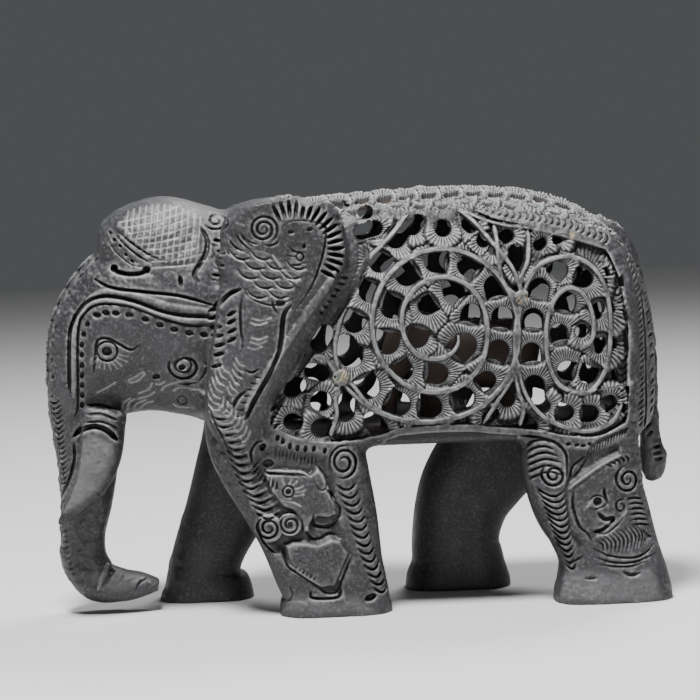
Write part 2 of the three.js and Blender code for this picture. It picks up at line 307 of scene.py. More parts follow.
def fade(place, ends):
    """From 0 at both ends of a line to 1 from the given share of its length on; 0 gives 1 throughout."""
    if not ends:
        return np.ones_like(place)
    return np.clip(np.minimum(place, 1 - place) / ends, 0, 1)


def unit(slopes):
    """Slopes along the three axes, scaled to a unit direction."""
    size = np.sqrt(sum(slope**2 for slope in slopes)) + 1e-6
    return [slope / size for slope in slopes]


def nearest(line, across, along):
    """For cells of a flat grid, the squared distance to a line and the nearest place on it, in segments."""
    best = np.full(np.broadcast_shapes(across.shape, along.shape), 1e12)
    place = np.zeros_like(best)
    for index, (start, run) in enumerate(zip(line, np.diff(line, axis=0))):
        off_x = across - start[0]
        off_z = along - start[1]
        part = np.clip((off_x * run[0] + off_z * run[1]) / max(run @ run, 1e-9), 0, 1)
        gap = (off_x - part * run[0]) ** 2 + (off_z - part * run[1]) ** 2
        closer = gap < best
        best = np.where(closer, gap, best)
        place = np.where(closer, index + part, place)
    return best, place


# The camera's own directions, in the part's axes
turn = math.radians(CAMERA_TURN)
rise = math.radians(CAMERA_RISE)
roll = math.radians(CAMERA_ROLL)
BACKWARD = np.array([
    math.sin(turn) * math.cos(rise),
    -math.cos(turn) * math.cos(rise),
    math.sin(rise),
])
level_right = np.cross(-BACKWARD, [0, 0, 1])
level_right /= np.linalg.norm(level_right)
level_up = np.cross(level_right, -BACKWARD)
PICTURE_RIGHT = level_right * math.cos(roll) - level_up * math.sin(roll)
PICTURE_UP = level_up * math.cos(roll) + level_right * math.sin(roll)
CAMERA_AT = np.array(CAMERA_AIM) + CAMERA_AWAY * BACKWARD


def seen(pixels, depth):
    """Side-view places (x, z) of picture points, on the upright plane y = -depth."""
    pixels = np.atleast_2d(np.asarray(pixels, float))
    right = (pixels[:, :1] - PICTURE / 2) / FOCAL_PIXELS
    up = -(pixels[:, 1:2] - PICTURE / 2) / FOCAL_PIXELS
    rays = -BACKWARD + right * PICTURE_RIGHT + up * PICTURE_UP
    reach = (-depth - CAMERA_AT[1]) / rays[:, 1:2]
    places = CAMERA_AT + reach * rays
    return places[:, [0, 2]]


class Block:
    """The block of stone: a distance-like value in every cell, below zero inside the stone."""

    def __init__(self, low, high, cell):
        self.low = np.array(low, float)
        self.cell = cell
        self.counts = np.ceil((np.array(high) - self.low) / cell).astype(int) + 1
        self.axes = [start + cell * np.arange(count) for start, count in zip(self.low, self.counts)]
        self.value = np.full(self.counts, EMPTY, np.float32)
        self.outer = None

    def window(self, low, high):
        """Slices of the cells between two corners."""
        first = np.maximum(np.floor((np.asarray(low) - self.low) / self.cell).astype(int), 0)
        last = np.minimum(np.ceil((np.asarray(high) - self.low) / self.cell).astype(int) + 1, self.counts)
        return tuple(slice(a, b) for a, b in zip(first, last))


def follow_path(stations, across, along):
    """For side-view cells: their offset from a path, how far beyond its ends, its sizes and the place."""
    line = spline(stations, PATH_STEPS)
    runs = np.diff(line[:, :2], axis=0)
    ahead = runs / np.sqrt(np.maximum((runs**2).sum(1), 1e-9))[:, None]
    _, place = nearest(line[:, :2], across, along)
    index = np.minimum(place.astype(int), PATH_STEPS - 1)
    part = (place - index)[..., None]
    point = line[index, :2] + runs[index] * part
    off_x = across - point[..., 0]
    off_z = along - point[..., 1]
    side = ahead[index, 0] * off_z - ahead[index, 1] * off_x
    beyond = np.abs(ahead[index, 0] * off_x + ahead[index, 1] * off_z)
    beyond = np.where((place <= 0) | (place >= PATH_STEPS), beyond, -1e3)
    sizes = line[index, 2:] + (line[index + 1, 2:] - line[index, 2:]) * part
    return side, beyond, sizes, place


def sweep(block, stations, offset=0.0, power=ROUND, grow=(0.0, 0.0, 0.0), margin=6.0):
    """Field of an oval form swept along a path, and the window of cells that it fills."""
    table = np.asarray(stations, float)
    reach = table[:, 2:4].max() + margin
    half = table[:, 4].max() + margin
    window = block.window(
        (table[:, 0].min() - reach, offset - half, table[:, 1].min() - reach),
        (table[:, 0].max() + reach, offset + half, table[:, 1].max() + reach),
    )
    xs, ys, zs = (axis[cells].astype(np.float32) for axis, cells in zip(block.axes, window))
    across, along = np.meshgrid(xs, zs, indexing="ij")
    side, beyond, sizes, _ = follow_path(stations, across, along)
    left = side >= 0
    bend = np.where(left, *power).astype(np.float32)
    in_view = np.where(left, sizes[..., 0] + grow[0], sizes[..., 1] + grow[1])
    in_view = np.maximum(in_view, 0.05)
    half_width = np.maximum(sizes[..., 2] + grow[2], 0.05)
    flat = ((np.abs(side) / in_view) ** bend)[:, None, :].astype(np.float32)
    lift = np.abs(ys - offset)[None, :, None] / half_width[:, None, :]
    bend = bend[:, None, :]
    scale = np.minimum(in_view, half_width)[:, None, :]
    field = ((flat + lift.astype(np.float32) ** bend) ** (1 / bend) - 1) * scale
    return np.maximum(field, beyond[:, None, :]).astype(np.float32), window


def blend_in(value, window, field, softness):
    """Join a form to the stone, with a fillet about as wide as the softness."""
    here = value[window]
    overlap = np.maximum(softness - np.abs(here - field), 0)
    value[window] = np.minimum(here, field) - overlap**2 / (4 * max(softness, 1e-6))


def outer_form(block):
    """The elephant's body, head, limbs, ears, tusks and tail."""
    forms = [
        (TORSO, 0.0, TORSO_POWER, 0),
        (HEAD, 0.0, HEAD_POWER, 5),
        (CROWN, 0.0, ROUND, 2),
        (NEAR_FRONT_LEG, -LEG_OFFSET, LEG_POWER, 4),
        (FAR_FRONT_LEG, LEG_OFFSET, LEG_POWER, 4),
        (HIND_LEG, -LEG_OFFSET, LEG_POWER, 4),
        (FAR_HIND_LEG, LEG_OFFSET, LEG_POWER, 4),
        (TAIL, 0.0, ROUND, 1.5),
    ]
    for side in (-1, 1):
        forms.append((EAR, side * EAR_OFFSET, EAR_POWER, 1.5))
        forms.append((TUSK, side * TUSK_OFFSET, ROUND, 0.6))
        forms.append((TUSK_COLLAR, side * TUSK_OFFSET, ROUND, 0.4))
    for stations, offset, power, softness in forms:
        field, window = sweep(block, stations, offset, power)
        blend_in(block.value, window, field, softness)


def hollow_out(block):
    """Take out the inside of the body, kept away from the skin by its walls."""
    core, window = sweep(block, TORSO, 0.0, TORSO_POWER, (-ROOF, -FLOOR, -SIDE_WALL), 0.0)
    xs = block.axes[0][window[0]][:, None, None]
    front = TORSO[0][0] + FRONT_WALL
    back = TORSO[-1][0] - END_WALL
    core = np.maximum(core, np.maximum(front - xs, xs - back))
    block.value[window] = np.maximum(block.value[window], -core)


def add_calf(block):
    """The small elephant that stands in the hollow."""
    forms = [(CALF_BODY, 0.0), (CALF_HEAD, 0.0)]
    for x in CALF_STANCE:
        leg = [(x + row[0], *row[1:]) for row in CALF_LEG]
        forms += [(leg, -CALF_LEG_OFFSET), (leg, CALF_LEG_OFFSET)]
    for stations, offset in forms:
        field, window = sweep(block, stations, offset)
        blend_in(block.value, window, field, 1.5)


def dress(block, sheets):
    """Raise and cut the skin as the sheets say."""
    block.outer = block.value.astype(np.float16)
    cells = np.nonzero((block.value > SKIN[0]) & (block.value < SKIN[1]))
    slopes = []
    for axis in range(3):
        ahead = list(cells)
        behind = list(cells)
        ahead[axis] = np.minimum(cells[axis] + 1, block.counts[axis] - 1)
        behind[axis] = np.maximum(cells[axis] - 1, 0)
        slopes.append(block.value[tuple(ahead)] - block.value[tuple(behind)])
    places = [block.axes[k][cells[k]].astype(np.float32) for k in range(3)]
    block.value[cells] -= relief(sheets, ["heights"], places, unit(slopes))["heights"]


def relief(sheets, layers, places, facing):
    """Layers of the sheets at places on the skin, each sheet where the skin faces it."""
    x, y, z = places
    upward = smoothstep(facing[2], *TOP_FACING) * smoothstep(z, *TOP_HEIGHT) * smoothstep(x, *TOP_START)
    outward = np.where(y < 0, -facing[1], facing[1])
    to_side = smoothstep(outward, *SIDE_FACING)
    to_front = smoothstep(-facing[0], *FRONT_FACING) * (1 - smoothstep(outward, *FRONT_EDGE))
    to_back = smoothstep(facing[0], *BACK_FACING) * (1 - to_side)
    shares = {
        "side": to_side * (1 - upward),
        "top": upward,
        "front": to_front * (x < FRONT_END),
        "back": to_back * (x > BACK_START) * (z > BACK_FOOT),
    }
    totals = {layer: np.zeros(x.shape, np.float32) for layer in layers}
    for name, share in shares.items():
        chosen = share > 0.01
        if not chosen.any():
            continue
        u, v, w = x[chosen], y[chosen], z[chosen]
        if name == "side":
            u, w = side_places(u, v, w)
        elif name == "top":
            w = np.abs(v)
        else:
            u = np.abs(v)
        for layer in layers:
            totals[layer][chosen] += share[chosen] * sheets[name].sample(layer, u, w)
    return totals


def side_places(x, y, z):
    """Where the side sheet is read for places on the skin: the far legs read it where the near legs stand."""
    u = x.copy()
    w = z.copy()
    low = (y > 0) & (z < FAR_LEGS_TOP)
    front = x < FAR_SPLIT - FAR_SLANT * z
    for near, far, chosen in (
        (NEAR_FRONT_LEG, FAR_FRONT_LEG, low & front),
        (HIND_LEG, FAR_HIND_LEG, low & ~front),
    ):
        if not chosen.any():
            continue
        off, _, sizes, place = follow_path(far, x[chosen], z[chosen])
        line = spline(near, PATH_STEPS)
        index = np.minimum(place.astype(int), PATH_STEPS - 1)
        row = line[index] + (line[index + 1] - line[index]) * (place - index)[:, None]
        run = line[index + 1, :2] - line[index, :2]
        run /= np.hypot(run[:, 0], run[:, 1])[:, None]
        left = off >= 0
        reach = off / np.where(left, sizes[:, 0], sizes[:, 1]) * np.where(left, row[:, 2], row[:, 3])
        u[chosen] = row[:, 0] - run[:, 1] * reach
        w[chosen] = row[:, 1] + run[:, 0] * reach
    return u, w


def pierce(block, side, top):
    """Cut the eyes of the covering through both side walls, and those of the panel through the roof."""
    xs, zs = np.meshgrid(block.axes[0], block.axes[2], indexing="ij")
    field = side.sample("holes", xs, zs)
    for index, y in enumerate(block.axes[1]):
        if abs(y) < WALL_START:
            continue
        kept = (field < CUT_REACH) & (zs > (EYES_FOOT if abs(y) < ROOF_HALF else 0))
        layer = block.value[:, index, :]
        block.value[:, index, :] = np.where(kept, np.maximum(layer, -field), layer)
    above = zs[0] > ROOF_FOOT
    xs, ys = np.meshgrid(block.axes[0], np.abs(block.axes[1]), indexing="ij")
    field = top.sample("holes", xs, ys)[:, :, None]
    upper = block.value[:, :, above]
    block.value[:, :, above] = np.where(field < CUT_REACH, np.maximum(upper, -field), upper)


def stone_mesh(block):
    """Vertices in grid units, and triangles, of the stone's surface."""
    reach = 3 * block.cell
    grid = openvdb.FloatGrid(reach)
    grid.copyFromArray(np.clip(block.value, -reach, reach))
    points, triangles, quads = grid.convertToPolygons(0.0, 0.0)
    halves = np.vstack([quads[:, [0, 1, 2]], quads[:, [0, 2, 3]]])
    triangles = np.vstack([triangles, halves]) if len(triangles) else halves
    return block.low + block.cell * points, triangles[:, ::-1]


def sample_block(block, values, points):
    """Values at points inside the block, each from its eight neighbours."""
    place = (points - block.low) / block.cell
    place = np.clip(place, 0, block.counts - 1.001)
    index = place.astype(int)
    part = (place - index).astype(np.float32)
    total = np.zeros(len(points), np.float32)
    for corner in range(8):
        step = [(corner >> k) & 1 for k in range(3)]
        weight = np.ones(len(points), np.float32)
        for k in range(3):
            weight *= part[:, k] if step[k] else 1 - part[:, k]
        at = tuple(index[:, k] + step[k] for k in range(3))
        total += weight * values[at]
    return total


def carve(low, high, cell, sheets):
    """One half of the elephant, cut off a little past the middle."""
    block = Block(low, high, cell)
    outer_form(block)
    dress(block, sheets)
    hollow_out(block)
    pierce(block, sheets["side"], sheets["top"])
    add_calf(block)
    heights = block.axes[2][None, None, :].astype(np.float32)
    across = block.axes[1][None, :, None].astype(np.float32)
    past_middle = (across if low[1] == BLOCK_LOW[1] else -across) - OVERLAP
    block.value = np.maximum(np.maximum(block.value, -heights), past_middle)
    return block


def blurred(layer, reach):
    """A sheet's layer averaged twice over a square of the given reach."""
    cells = max(int(round(reach / PEN_CELL)), 1)
    for _ in range(2):
        for axis in range(2):
            edges = [(cells + 1, cells) if k == axis else (0, 0) for k in range(2)]
            total = np.cumsum(np.pad(layer, edges, mode="edge"), axis=axis, dtype=np.float64)
            ahead = np.take(total, range(2 * cells + 1, total.shape[axis]), axis=axis)
            behind = np.take(total, range(0, total.shape[axis] - 2 * cells - 1), axis=axis)
            layer = ((ahead - behind) / (2 * cells + 1)).astype(np.float32)
    return layer


# The relief in grid units, from the plain skin: stems, leaves, the ground between them, veins and hand cutting
STEM_HEIGHT = 0.5
LEAF_HEIGHT = -1.2
LEAF_SLOPE = 1.2
LEAF_SPREAD = 3.2
GROUND_HEIGHT = -2.2
VEIN_PITCH = 1.12
VEIN_DEPTH = 0.5
FRONT_PULL = 0.65
HAND_CUT = ((1.5, 0.1), (0.4, 0.07))
STEM_CLEAR = 4.2
HOLE_REACH = 3.5
UNCLAIMED = 1e6

# Wear and painted shade come from how far the relief stands over its own blur, near and far: ridges above it
# are worn pale, hollows below it get painted shade; the edges of holes are rounded for it
HOLE_EDGE = 0.8
FINE_WEAR_AND_SHADE = 0.9
BROAD_WEAR_AND_SHADE = 3.0
BROAD_WEAR_AND_SHADE_SHARE = 0.22


class Sheet:
    """A relief drawn on a flat sheet: broad form, cuts into it, marks, the leaves' veins, and holes."""

    def __init__(self, low, high):
        self.low = np.asarray(low, float)
        counts = np.ceil((np.asarray(high, float) - self.low) / PEN_CELL).astype(int) + 1
        self.axes = [self.low[k] + PEN_CELL * np.arange(counts[k]) for k in range(2)]
        blank = np.zeros((7, *counts), np.float32)
        self.form, self.cuts, self.pale, self.warm, self.owner, self.phase, self.veined = blank
        self.holes = np.full(counts, EMPTY, np.float32)
        self.claim = np.full(counts, UNCLAIMED, np.float32)
        self.layers = {}

    def window(self, low, high):
        """Slices of the cells between two corners, and the places of these cells."""
        first = np.floor((np.asarray(low) - self.low) / PEN_CELL).astype(int)
        last = np.ceil((np.asarray(high) - self.low) / PEN_CELL).astype(int) + 1
        first = np.clip(first, 0, self.form.shape)
        last = np.clip(np.maximum(last, first), 0, self.form.shape)
        cells = slice(first[0], last[0]), slice(first[1], last[1])
        return cells, self.axes[0][cells[0]][:, None], self.axes[1][cells[1]][None, :]

    def off_line(self, line, reach):
        """The cells near a line: how far off it they are, how far along (0 to 1), and on which side."""
        line = np.asarray(line, float)
        cells, across, along = self.window(line.min(0) - reach, line.max(0) + reach)
        best, place = nearest(line, across, along)
        runs = np.diff(line, axis=0)
        travelled = np.concatenate([[0], np.cumsum(np.maximum(np.hypot(*runs.T), 1e-6))])
        index = np.minimum(place.astype(int), len(runs) - 1)
        side = runs[index, 0] * (along - line[index, 1]) - runs[index, 1] * (across - line[index, 0])
        share = np.interp(place, np.arange(len(travelled)), travelled) / travelled[-1]
        return cells, np.sqrt(best), share, side

    def raise_form(self, cells, inside, height):
        """Lift the ground to a height in the cells where inside is above zero."""
        form = self.form[cells]
        self.form[cells] = np.where(inside > 0, np.maximum(form, height), form)

    def finish(self):
        """Layers to read: heights, the marks, and wear with painted shade, above zero where rubbing reaches and
        below zero where shade is painted in the hollows.
        """
        veins = VEIN_DEPTH * self.veined * (0.5 + 0.5 * np.cos(2 * math.pi * self.phase))
        broad = self.form + self.cuts - self.seams()
        rough = np.random.default_rng(3).standard_normal(broad.shape).astype(np.float32)
        for reach, height in HAND_CUT:
            waves = blurred(rough, reach)
            broad += height * waves / waves.std()
        rounded = broad - HOLE_EDGE * np.clip(1 - self.holes, 0, 1)
        # Above the blur the ridges are worn pale; below it the hollows get painted shade
        wear_and_shade = rounded - blurred(rounded, FINE_WEAR_AND_SHADE)
        wear_and_shade += BROAD_WEAR_AND_SHADE_SHARE * (rounded - blurred(rounded, BROAD_WEAR_AND_SHADE))
        self.layers = {
            "heights": broad - veins, "holes": self.holes, "wear_and_shade": wear_and_shade, "pale": self.pale,
            "phase": self.phase, "veined": self.veined, "warm": self.warm,
        }

    def seams(self):
        """The depth of the cut that parts each leaf from the next."""
        edges = np.zeros_like(self.form)
        claimed = (self.claim > 0) & (self.claim < UNCLAIMED / 10)
        for axis in range(2):
            differs = np.diff(self.owner, axis=axis, append=0) != 0
            edges[differs & claimed] = 1
        return np.minimum(2.2 * blurred(edges, 0.2), 1) * (self.veined > 0.05)

    def sample(self, name, across, along):
        """Values of a layer at places given by their two coordinates."""
        layer = self.layers[name]
        us = np.clip((across - self.low[0]) / PEN_CELL, 0, layer.shape[0] - 1.001)
        vs = np.clip((along - self.low[1]) / PEN_CELL, 0, layer.shape[1] - 1.001)
        u = us.astype(int)
        v = vs.astype(int)
        du = us - u
        dv = vs - v
        first = layer[u, v] * (1 - dv) + layer[u, v + 1] * dv
        second = layer[u + 1, v] * (1 - dv) + layer[u + 1, v + 1] * dv
        return (first * (1 - du) + second * du).astype(np.float32)


class Pen:
    """Draws on a sheet with points and widths in picture pixels, read on an upright plane."""

    def __init__(self, sheet, depth=0.0):
        self.sheet = sheet
        self.depth = depth

    def at(self, points):
        """Places on the sheet of picture points."""
        return seen(points, self.depth)

    def curve(self, points, steps=6):
        """A smooth line on the sheet through picture points."""
        places = self.at(points)
        if len(places) > 2:
            return spline(places, steps * (len(places) - 1))
        return places

    def around(self, centre, reach):
        """The cells within a reach, in grid units, of a picture point, and their offsets from it."""
        middle = self.at(centre)[0]
        cells, across, along = self.sheet.window(middle - reach, middle + reach)
        return cells, across - middle[0], along - middle[1]

    def groove(self, points, width=2.6, depth=0.9, ends=0.3, steps=6):
        """A chiselled groove that narrows towards its ends."""
        width *= PIXEL
        cells, off, place, _ = self.sheet.off_line(self.curve(points, steps), width)
        whole = fade(place, ends)
        profile = np.clip(1 - (off / (width / 2 * (0.4 + 0.6 * np.sqrt(whole)))) ** 2, 0, 1)
        lower = -depth * profile * (0.35 + 0.65 * whole)
        self.sheet.cuts[cells] = np.minimum(self.sheet.cuts[cells], lower)

    def scratch(self, points, width=1.5, depth=0.3, strength=1.0, steps=5):
        """A thin scored line, pale against the dark stone."""
        self.groove(points, width, depth, 0.25, steps)
        width *= PIXEL
        cells, off, _, _ = self.sheet.off_line(self.curve(points, steps), width)
        mark = strength * np.clip(1.3 - off / (width * 0.55), 0, 1)
        self.sheet.pale[cells] = np.maximum(self.sheet.pale[cells], mark)

    def ridge(self, points, width=4.0, height=0.8, ends=0.15, base=0.0, steps=6):
        """A rounded strand that stands above its ground."""
        width *= PIXEL
        cells, off, place, _ = self.sheet.off_line(self.curve(points, steps), width)
        half = width / 2 * (0.45 + 0.55 * np.sqrt(fade(place, ends)))
        inside = np.clip(1 - (off / half) ** 2, 0, 1)
        self.sheet.raise_form(cells, inside, base + (height - base) * inside**0.6)

    def stem(self, points, width, height=STEM_HEIGHT, steps=4):
        """A rounded strand that stays solid and stands above everything that it crosses."""
        half = width * PIXEL / 2
        cells, off, place, _ = self.sheet.off_line(self.curve(points, steps), half + STEM_CLEAR)
        half = half * (0.45 + 0.55 * np.sqrt(fade(place, 0.06)))
        inside = np.clip(1 - (off / half) ** 2, 0, 1)
        crease = 0.55 * np.clip(1 - (off / 0.55) ** 2, 0, 1)
        self.sheet.raise_form(cells, inside, GROUND_HEIGHT + (height - GROUND_HEIGHT) * inside**0.8 - crease)
        self.sheet.cuts[cells] *= 1 - smoothstep(inside, 0.0, 0.3)
        self.sheet.veined[cells] *= 1 - smoothstep(inside, 0.0, 0.2)
        self.sheet.holes[cells] = np.maximum(self.sheet.holes[cells], half * 0.9 - off)

    def pit(self, centre, radius=3.0, depth=1.2, squash=1.0, tilt=0.0):
        """A drilled or gouged hollow; squash narrows it across its tilt, in degrees."""
        size = radius * PIXEL
        cells, off_x, off_z = self.around(centre, size)
        cos = math.cos(math.radians(tilt))
        sin = math.sin(math.radians(tilt))
        u = (off_x * cos + off_z * sin) / size
        v = (-off_x * sin + off_z * cos) / (size * squash)
        profile = np.clip(1 - (u * u + v * v) ** 1.5, 0, 1)
        self.sheet.cuts[cells] = np.minimum(self.sheet.cuts[cells], -depth * profile)

    def boss(self, centre, radius=3.0, height=0.6):
        """A small round button."""
        size = radius * PIXEL
        cells, off_x, off_z = self.around(centre, size)
        inside = np.clip(1 - (off_x**2 + off_z**2) / size**2, 0, 1)
        self.sheet.raise_form(cells, inside, height * inside**0.3)

    def stain(self, centre, radius):
        """A soft yellowish spot."""
        size = radius * PIXEL
        cells, off_x, off_z = self.around(centre, size)
        mark = 1 - smoothstep(np.hypot(off_x, off_z), 0.2 * size, size)
        self.sheet.warm[cells] = np.maximum(self.sheet.warm[cells], mark)

    def coil(self, centre, radius, turns, start=0.0, squash=1.0, width=2.4, depth=0.9, inner=0.12):
        """A groove coiled from its rim inwards, counterclockwise."""
        part = np.linspace(0, 1, max(int(turns * 20), 8) + 1)
        angle = math.radians(start) + 2 * math.pi * turns * part
        reach = radius * (1 - (1 - inner) * part)
        points = np.stack([centre[0] + reach * np.cos(angle), centre[1] - squash * reach * np.sin(angle)], 1)
        self.groove(points, width, depth, 0.12, steps=1)

    def ring(self, centre, radius, width=2.0, depth=0.8, squash=1.0):
        """A groove round a place."""
        angle = np.linspace(0, 2 * math.pi, 25)
        points = np.stack([centre[0] + radius * np.cos(angle), centre[1] - squash * radius * np.sin(angle)], 1)
        self.groove(points, width, depth, 0, steps=1)

    def spaced(self, points, count):
        """Evenly spaced places along a picture curve, with the direction of travel at each."""
        line = spline(points, 12 * (len(points) - 1)) if len(points) > 2 else np.asarray(points, float)
        travelled = np.concatenate([[0], np.cumsum(np.hypot(*np.diff(line, axis=0).T))])
        wanted = np.linspace(0, travelled[-1], count)
        places = np.stack([np.interp(wanted, travelled, line[:, k]) for k in range(2)], 1)
        ahead = np.gradient(places, axis=0)
        ahead /= np.maximum(np.hypot(*ahead.T), 1e-6)[:, None]
        return places, ahead

    def ticks(self, points, count, length=8.0, width=2.6, depth=0.9, lean=0.0, bow=0.0, shift=0.0, last=None,
              scored=False):
        """Short cuts in a row across a curve; lean turns them in degrees, bow bends them along the curve."""
        places, ahead = self.spaced(points, count)
        lean = math.radians(lean)
        for place, run, size in zip(places, ahead, np.linspace(length, last or length, count)):
            along = np.array([-run[1], run[0]]) * math.cos(lean) + run * math.sin(lean)
            middle = place + along * shift
            ends = along * size / 2
            self.cut([middle - ends, middle + run * bow, middle + ends], width, depth, scored)

    def nested(self, points, count, half=7.0, last=None, sag=5.0, width=2.4, depth=0.9, skew=0.0):
        """Cupped lines one inside another down a curve."""
        places, ahead = self.spaced(points, count)
        part = np.linspace(-1, 1, 7)[:, None]
        for place, run, size in zip(places, ahead, np.linspace(half, last or half, count)):
            across = np.array([-run[1], run[0]])
            line = place + across * size * part + run * (sag * (1 - part * part) + skew * part)
            self.groove(line, width, depth, 0.2, steps=2)

    def between(self, starts, ends, count, bow=0.0, width=2.4, depth=0.8, scored=False):
        """Cuts that join matching places of two curves, bent to one side."""
        for a, b in zip(self.spaced(starts, count)[0], self.spaced(ends, count)[0]):
            across = np.array([b[1] - a[1], a[0] - b[0]])
            self.cut([a, (a + b) / 2 + across * bow, b], width, depth, scored)

    def cut(self, line, width, depth, scored):
        """One short cut, either scored pale or chiselled dark."""
        if scored:
            self.scratch(line, width, depth)
        else:
            self.groove(line, width, depth, 0.35)

    def inside_of(self, corners):
        """The cells near an outline, how far they are off it, and which lie inside."""
        outline = self.at(corners)
        outline = np.vstack([outline, outline[:1]])
        cells, off, _, _ = self.sheet.off_line(outline, 0.5)
        across = self.sheet.axes[0][cells[0]][:, None]
        along = self.sheet.axes[1][cells[1]][None, :]
        inside = np.zeros(off.shape, bool)
        for (x0, z0), (x1, z1) in zip(outline[:-1], outline[1:]):
            crosses = (z0 > along) != (z1 > along)
            meets = x0 + (along - z0) * (x1 - x0) / (z1 - z0 if abs(z1 - z0) > 1e-9 else 1e-9)
            inside ^= crosses & (across < meets)
        return cells, off, inside

    def level(self, corners, height, soft=1.0):
        """Set the ground inside an outline to a height, with a soft edge."""
        cells, off, inside = self.inside_of(corners)
        form = self.sheet.form[cells]
        self.sheet.form[cells] = form + (height - form) * np.where(inside, smoothstep(off, 0, soft), 0)

    def rub(self, corners, amount, soft=2.5):
        """Make the stone inside an outline paler, with a soft edge."""
        cells, off, inside = self.inside_of(corners)
        shade = amount * np.where(inside, smoothstep(off, 0, soft), 0)
        self.sheet.pale[cells] = np.maximum(self.sheet.pale[cells], shade)

    def bevel(self, points, width, depth):
        """Let the ground fall away on the left of a line, down to a depth at the given width."""
        width *= PIXEL
        cells, off, place, side = self.sheet.off_line(self.curve(points), width)
        falls = (side > 0) & (off < width) & (place > 0) & (place < 1)
        drop = depth * off / width * smoothstep(np.minimum(place, 1 - place), 0, 0.14)
        form = self.sheet.form[cells]
        self.sheet.form[cells] = np.where(falls, np.minimum(form, -drop), form)

    def leaf(self, centre, radius, bar, ahead):
        """A cupped leaf ahead of a drilled eye; its veins fan out from the eye over all that it claims."""
        sheet = self.sheet
        inner = radius * PIXEL
        outer = (radius + bar) * PIXEL
        reach = outer + LEAF_SPREAD
        cells, off_x, off_z = self.around(centre, reach)
        away = np.hypot(off_x, off_z)
        facing = math.atan2(-ahead[1], ahead[0])
        angle = (np.arctan2(off_z, off_x) - facing + math.pi) % (2 * math.pi) - math.pi
        front = smoothstep(np.cos(angle), -0.5, 0.4)
        gap = np.maximum(away - inner, 0)
        claim = gap * (1 - FRONT_PULL * front)
        owned = (claim < sheet.claim[cells]) & (away < reach)
        band = np.clip(gap / (outer - inner), 0, 1)
        lift = (LEAF_HEIGHT - GROUND_HEIGHT) * (0.2 + 0.8 * front) + LEAF_SLOPE * front * band
        fall = 1 - smoothstep(gap, outer - inner + 0.5, reach - inner)
        for layer, value in (
            (sheet.claim, claim),
            (sheet.form, GROUND_HEIGHT + lift * fall),
            (sheet.owner, sheet.owner.max() + 1),
            (sheet.phase, angle * (inner + outer) / 2 / VEIN_PITCH),
            (sheet.veined, (0.45 + 0.55 * front) * fall),
        ):
            layer[cells] = np.where(owned, value, layer[cells])

    def hole(self, line, radius, keep_clear=()):
        """Open the stone along a short line; keep_clear holds points and radii that stay solid."""
        places = self.curve(line)
        radius *= PIXEL
        cells, off, _, _ = self.sheet.off_line(places, radius + HOLE_REACH)
        field = off - radius
        across = self.sheet.axes[0][cells[0]][:, None]
        along = self.sheet.axes[1][cells[1]][None, :]
        for centre, size in keep_clear:
            middle = self.at(centre)[0]
            field = np.maximum(field, size * PIXEL - np.hypot(across - middle[0], along - middle[1]))
        self.sheet.holes[cells] = np.minimum(self.sheet.holes[cells], field)


class FlatPen(Pen):
    """A pen for a sheet with its own coordinates, counted in the picture's pixel size."""

    def at(self, points):
        return np.atleast_2d(np.asarray(points, float)) * PIXEL


# Places in the picture, in its pixels, are read off along each carved form
LEFT_SCROLL_EYE = (443, 335)
LEFT_SCROLL_RADII = (112, 86, 76, 86, 70, 57, 44.5, 58, 39, 23, 15)
LEFT_SCROLL_TURNS = (-157, -90, 0, 90, 180, 270, 360, 450, 540, 630, 720)
RIGHT_SCROLL = ((523, 298), (529, 281), (542, 265), (560, 258), (578, 258), (597, 269), (609, 291), (613, 322),
                (611, 356), (604, 378), (590, 392), (573, 392), (557, 382), (548, 357), (547, 325), (555, 300),
                (571, 288), (586, 296), (594, 315), (595, 335), (587, 347), (577, 344))
KNOTS = ((341, 378), (523, 298))
STAINS = ((341, 378, 11), (523, 298, 8), (577, 236, 6), (380, 207, 6))


def scroll_points(eye, radii, turns):
    """Picture points of a scroll's stem, which turns counterclockwise round its eye."""
    angles = np.arange(turns[0], turns[-1] + 1, 9.0)
    steps = 12
    reaches = spline(np.array([radii, radii]).T, steps * (len(radii) - 1))[:, 0]
    stops = np.interp(angles, turns, np.arange(len(turns)) * steps)
    reach = np.interp(stops, np.arange(len(reaches)), reaches)
    angles = np.radians(angles)
    return np.stack([eye[0] + reach * np.cos(angles), eye[1] - reach * np.sin(angles)], 1)


# Drilled eyes in their order along each run of leaves: x, y, radius
LEFT_SCROLL_EYES = (
    (352, 357, 11.5), (369, 388, 12), (399, 405, 12), (431, 407, 11.5), (464, 399, 11.5), (487, 381, 9.5),
    (499, 351, 11), (503, 318, 11), (496, 287, 11), (470, 266, 11), (437, 262, 11), (408, 275, 11.5),
    (393, 307, 12), (388, 343, 12), (403, 371, 10.5), (438, 374, 10.5), (464, 346, 13), (472, 314, 10),
    (455, 291, 11.5), (428, 306, 9.5), (418, 338, 10.5),
)
COLUMN_EYES = ((398, 239, 10), (381, 262, 11), (371, 292, 11), (355, 323, 10.5), (352, 357, 11))
LEAFY_LOOSE_EYES = 24
LEAST_BAR = 6.5
LAST_BAR = 9.0
STEM_WIDTH = 7.0
RIGHT_SCROLL_EYES = (
    (535, 386, 10.5), (532, 353, 10), (534, 319, 10.5), (541, 289, 10.5), (561, 271, 9.5), (587, 279, 9.5),
    (601, 309, 6.5), (602, 344, 6.5), (590, 375, 9.5), (568, 371, 9.5), (560, 333, 9), (568, 302, 10),
)
LOWER_EYES = ((530, 393, 6), (543, 407, 8), (566, 413, 8.5), (591, 414, 8.5), (611, 403, 7.5))
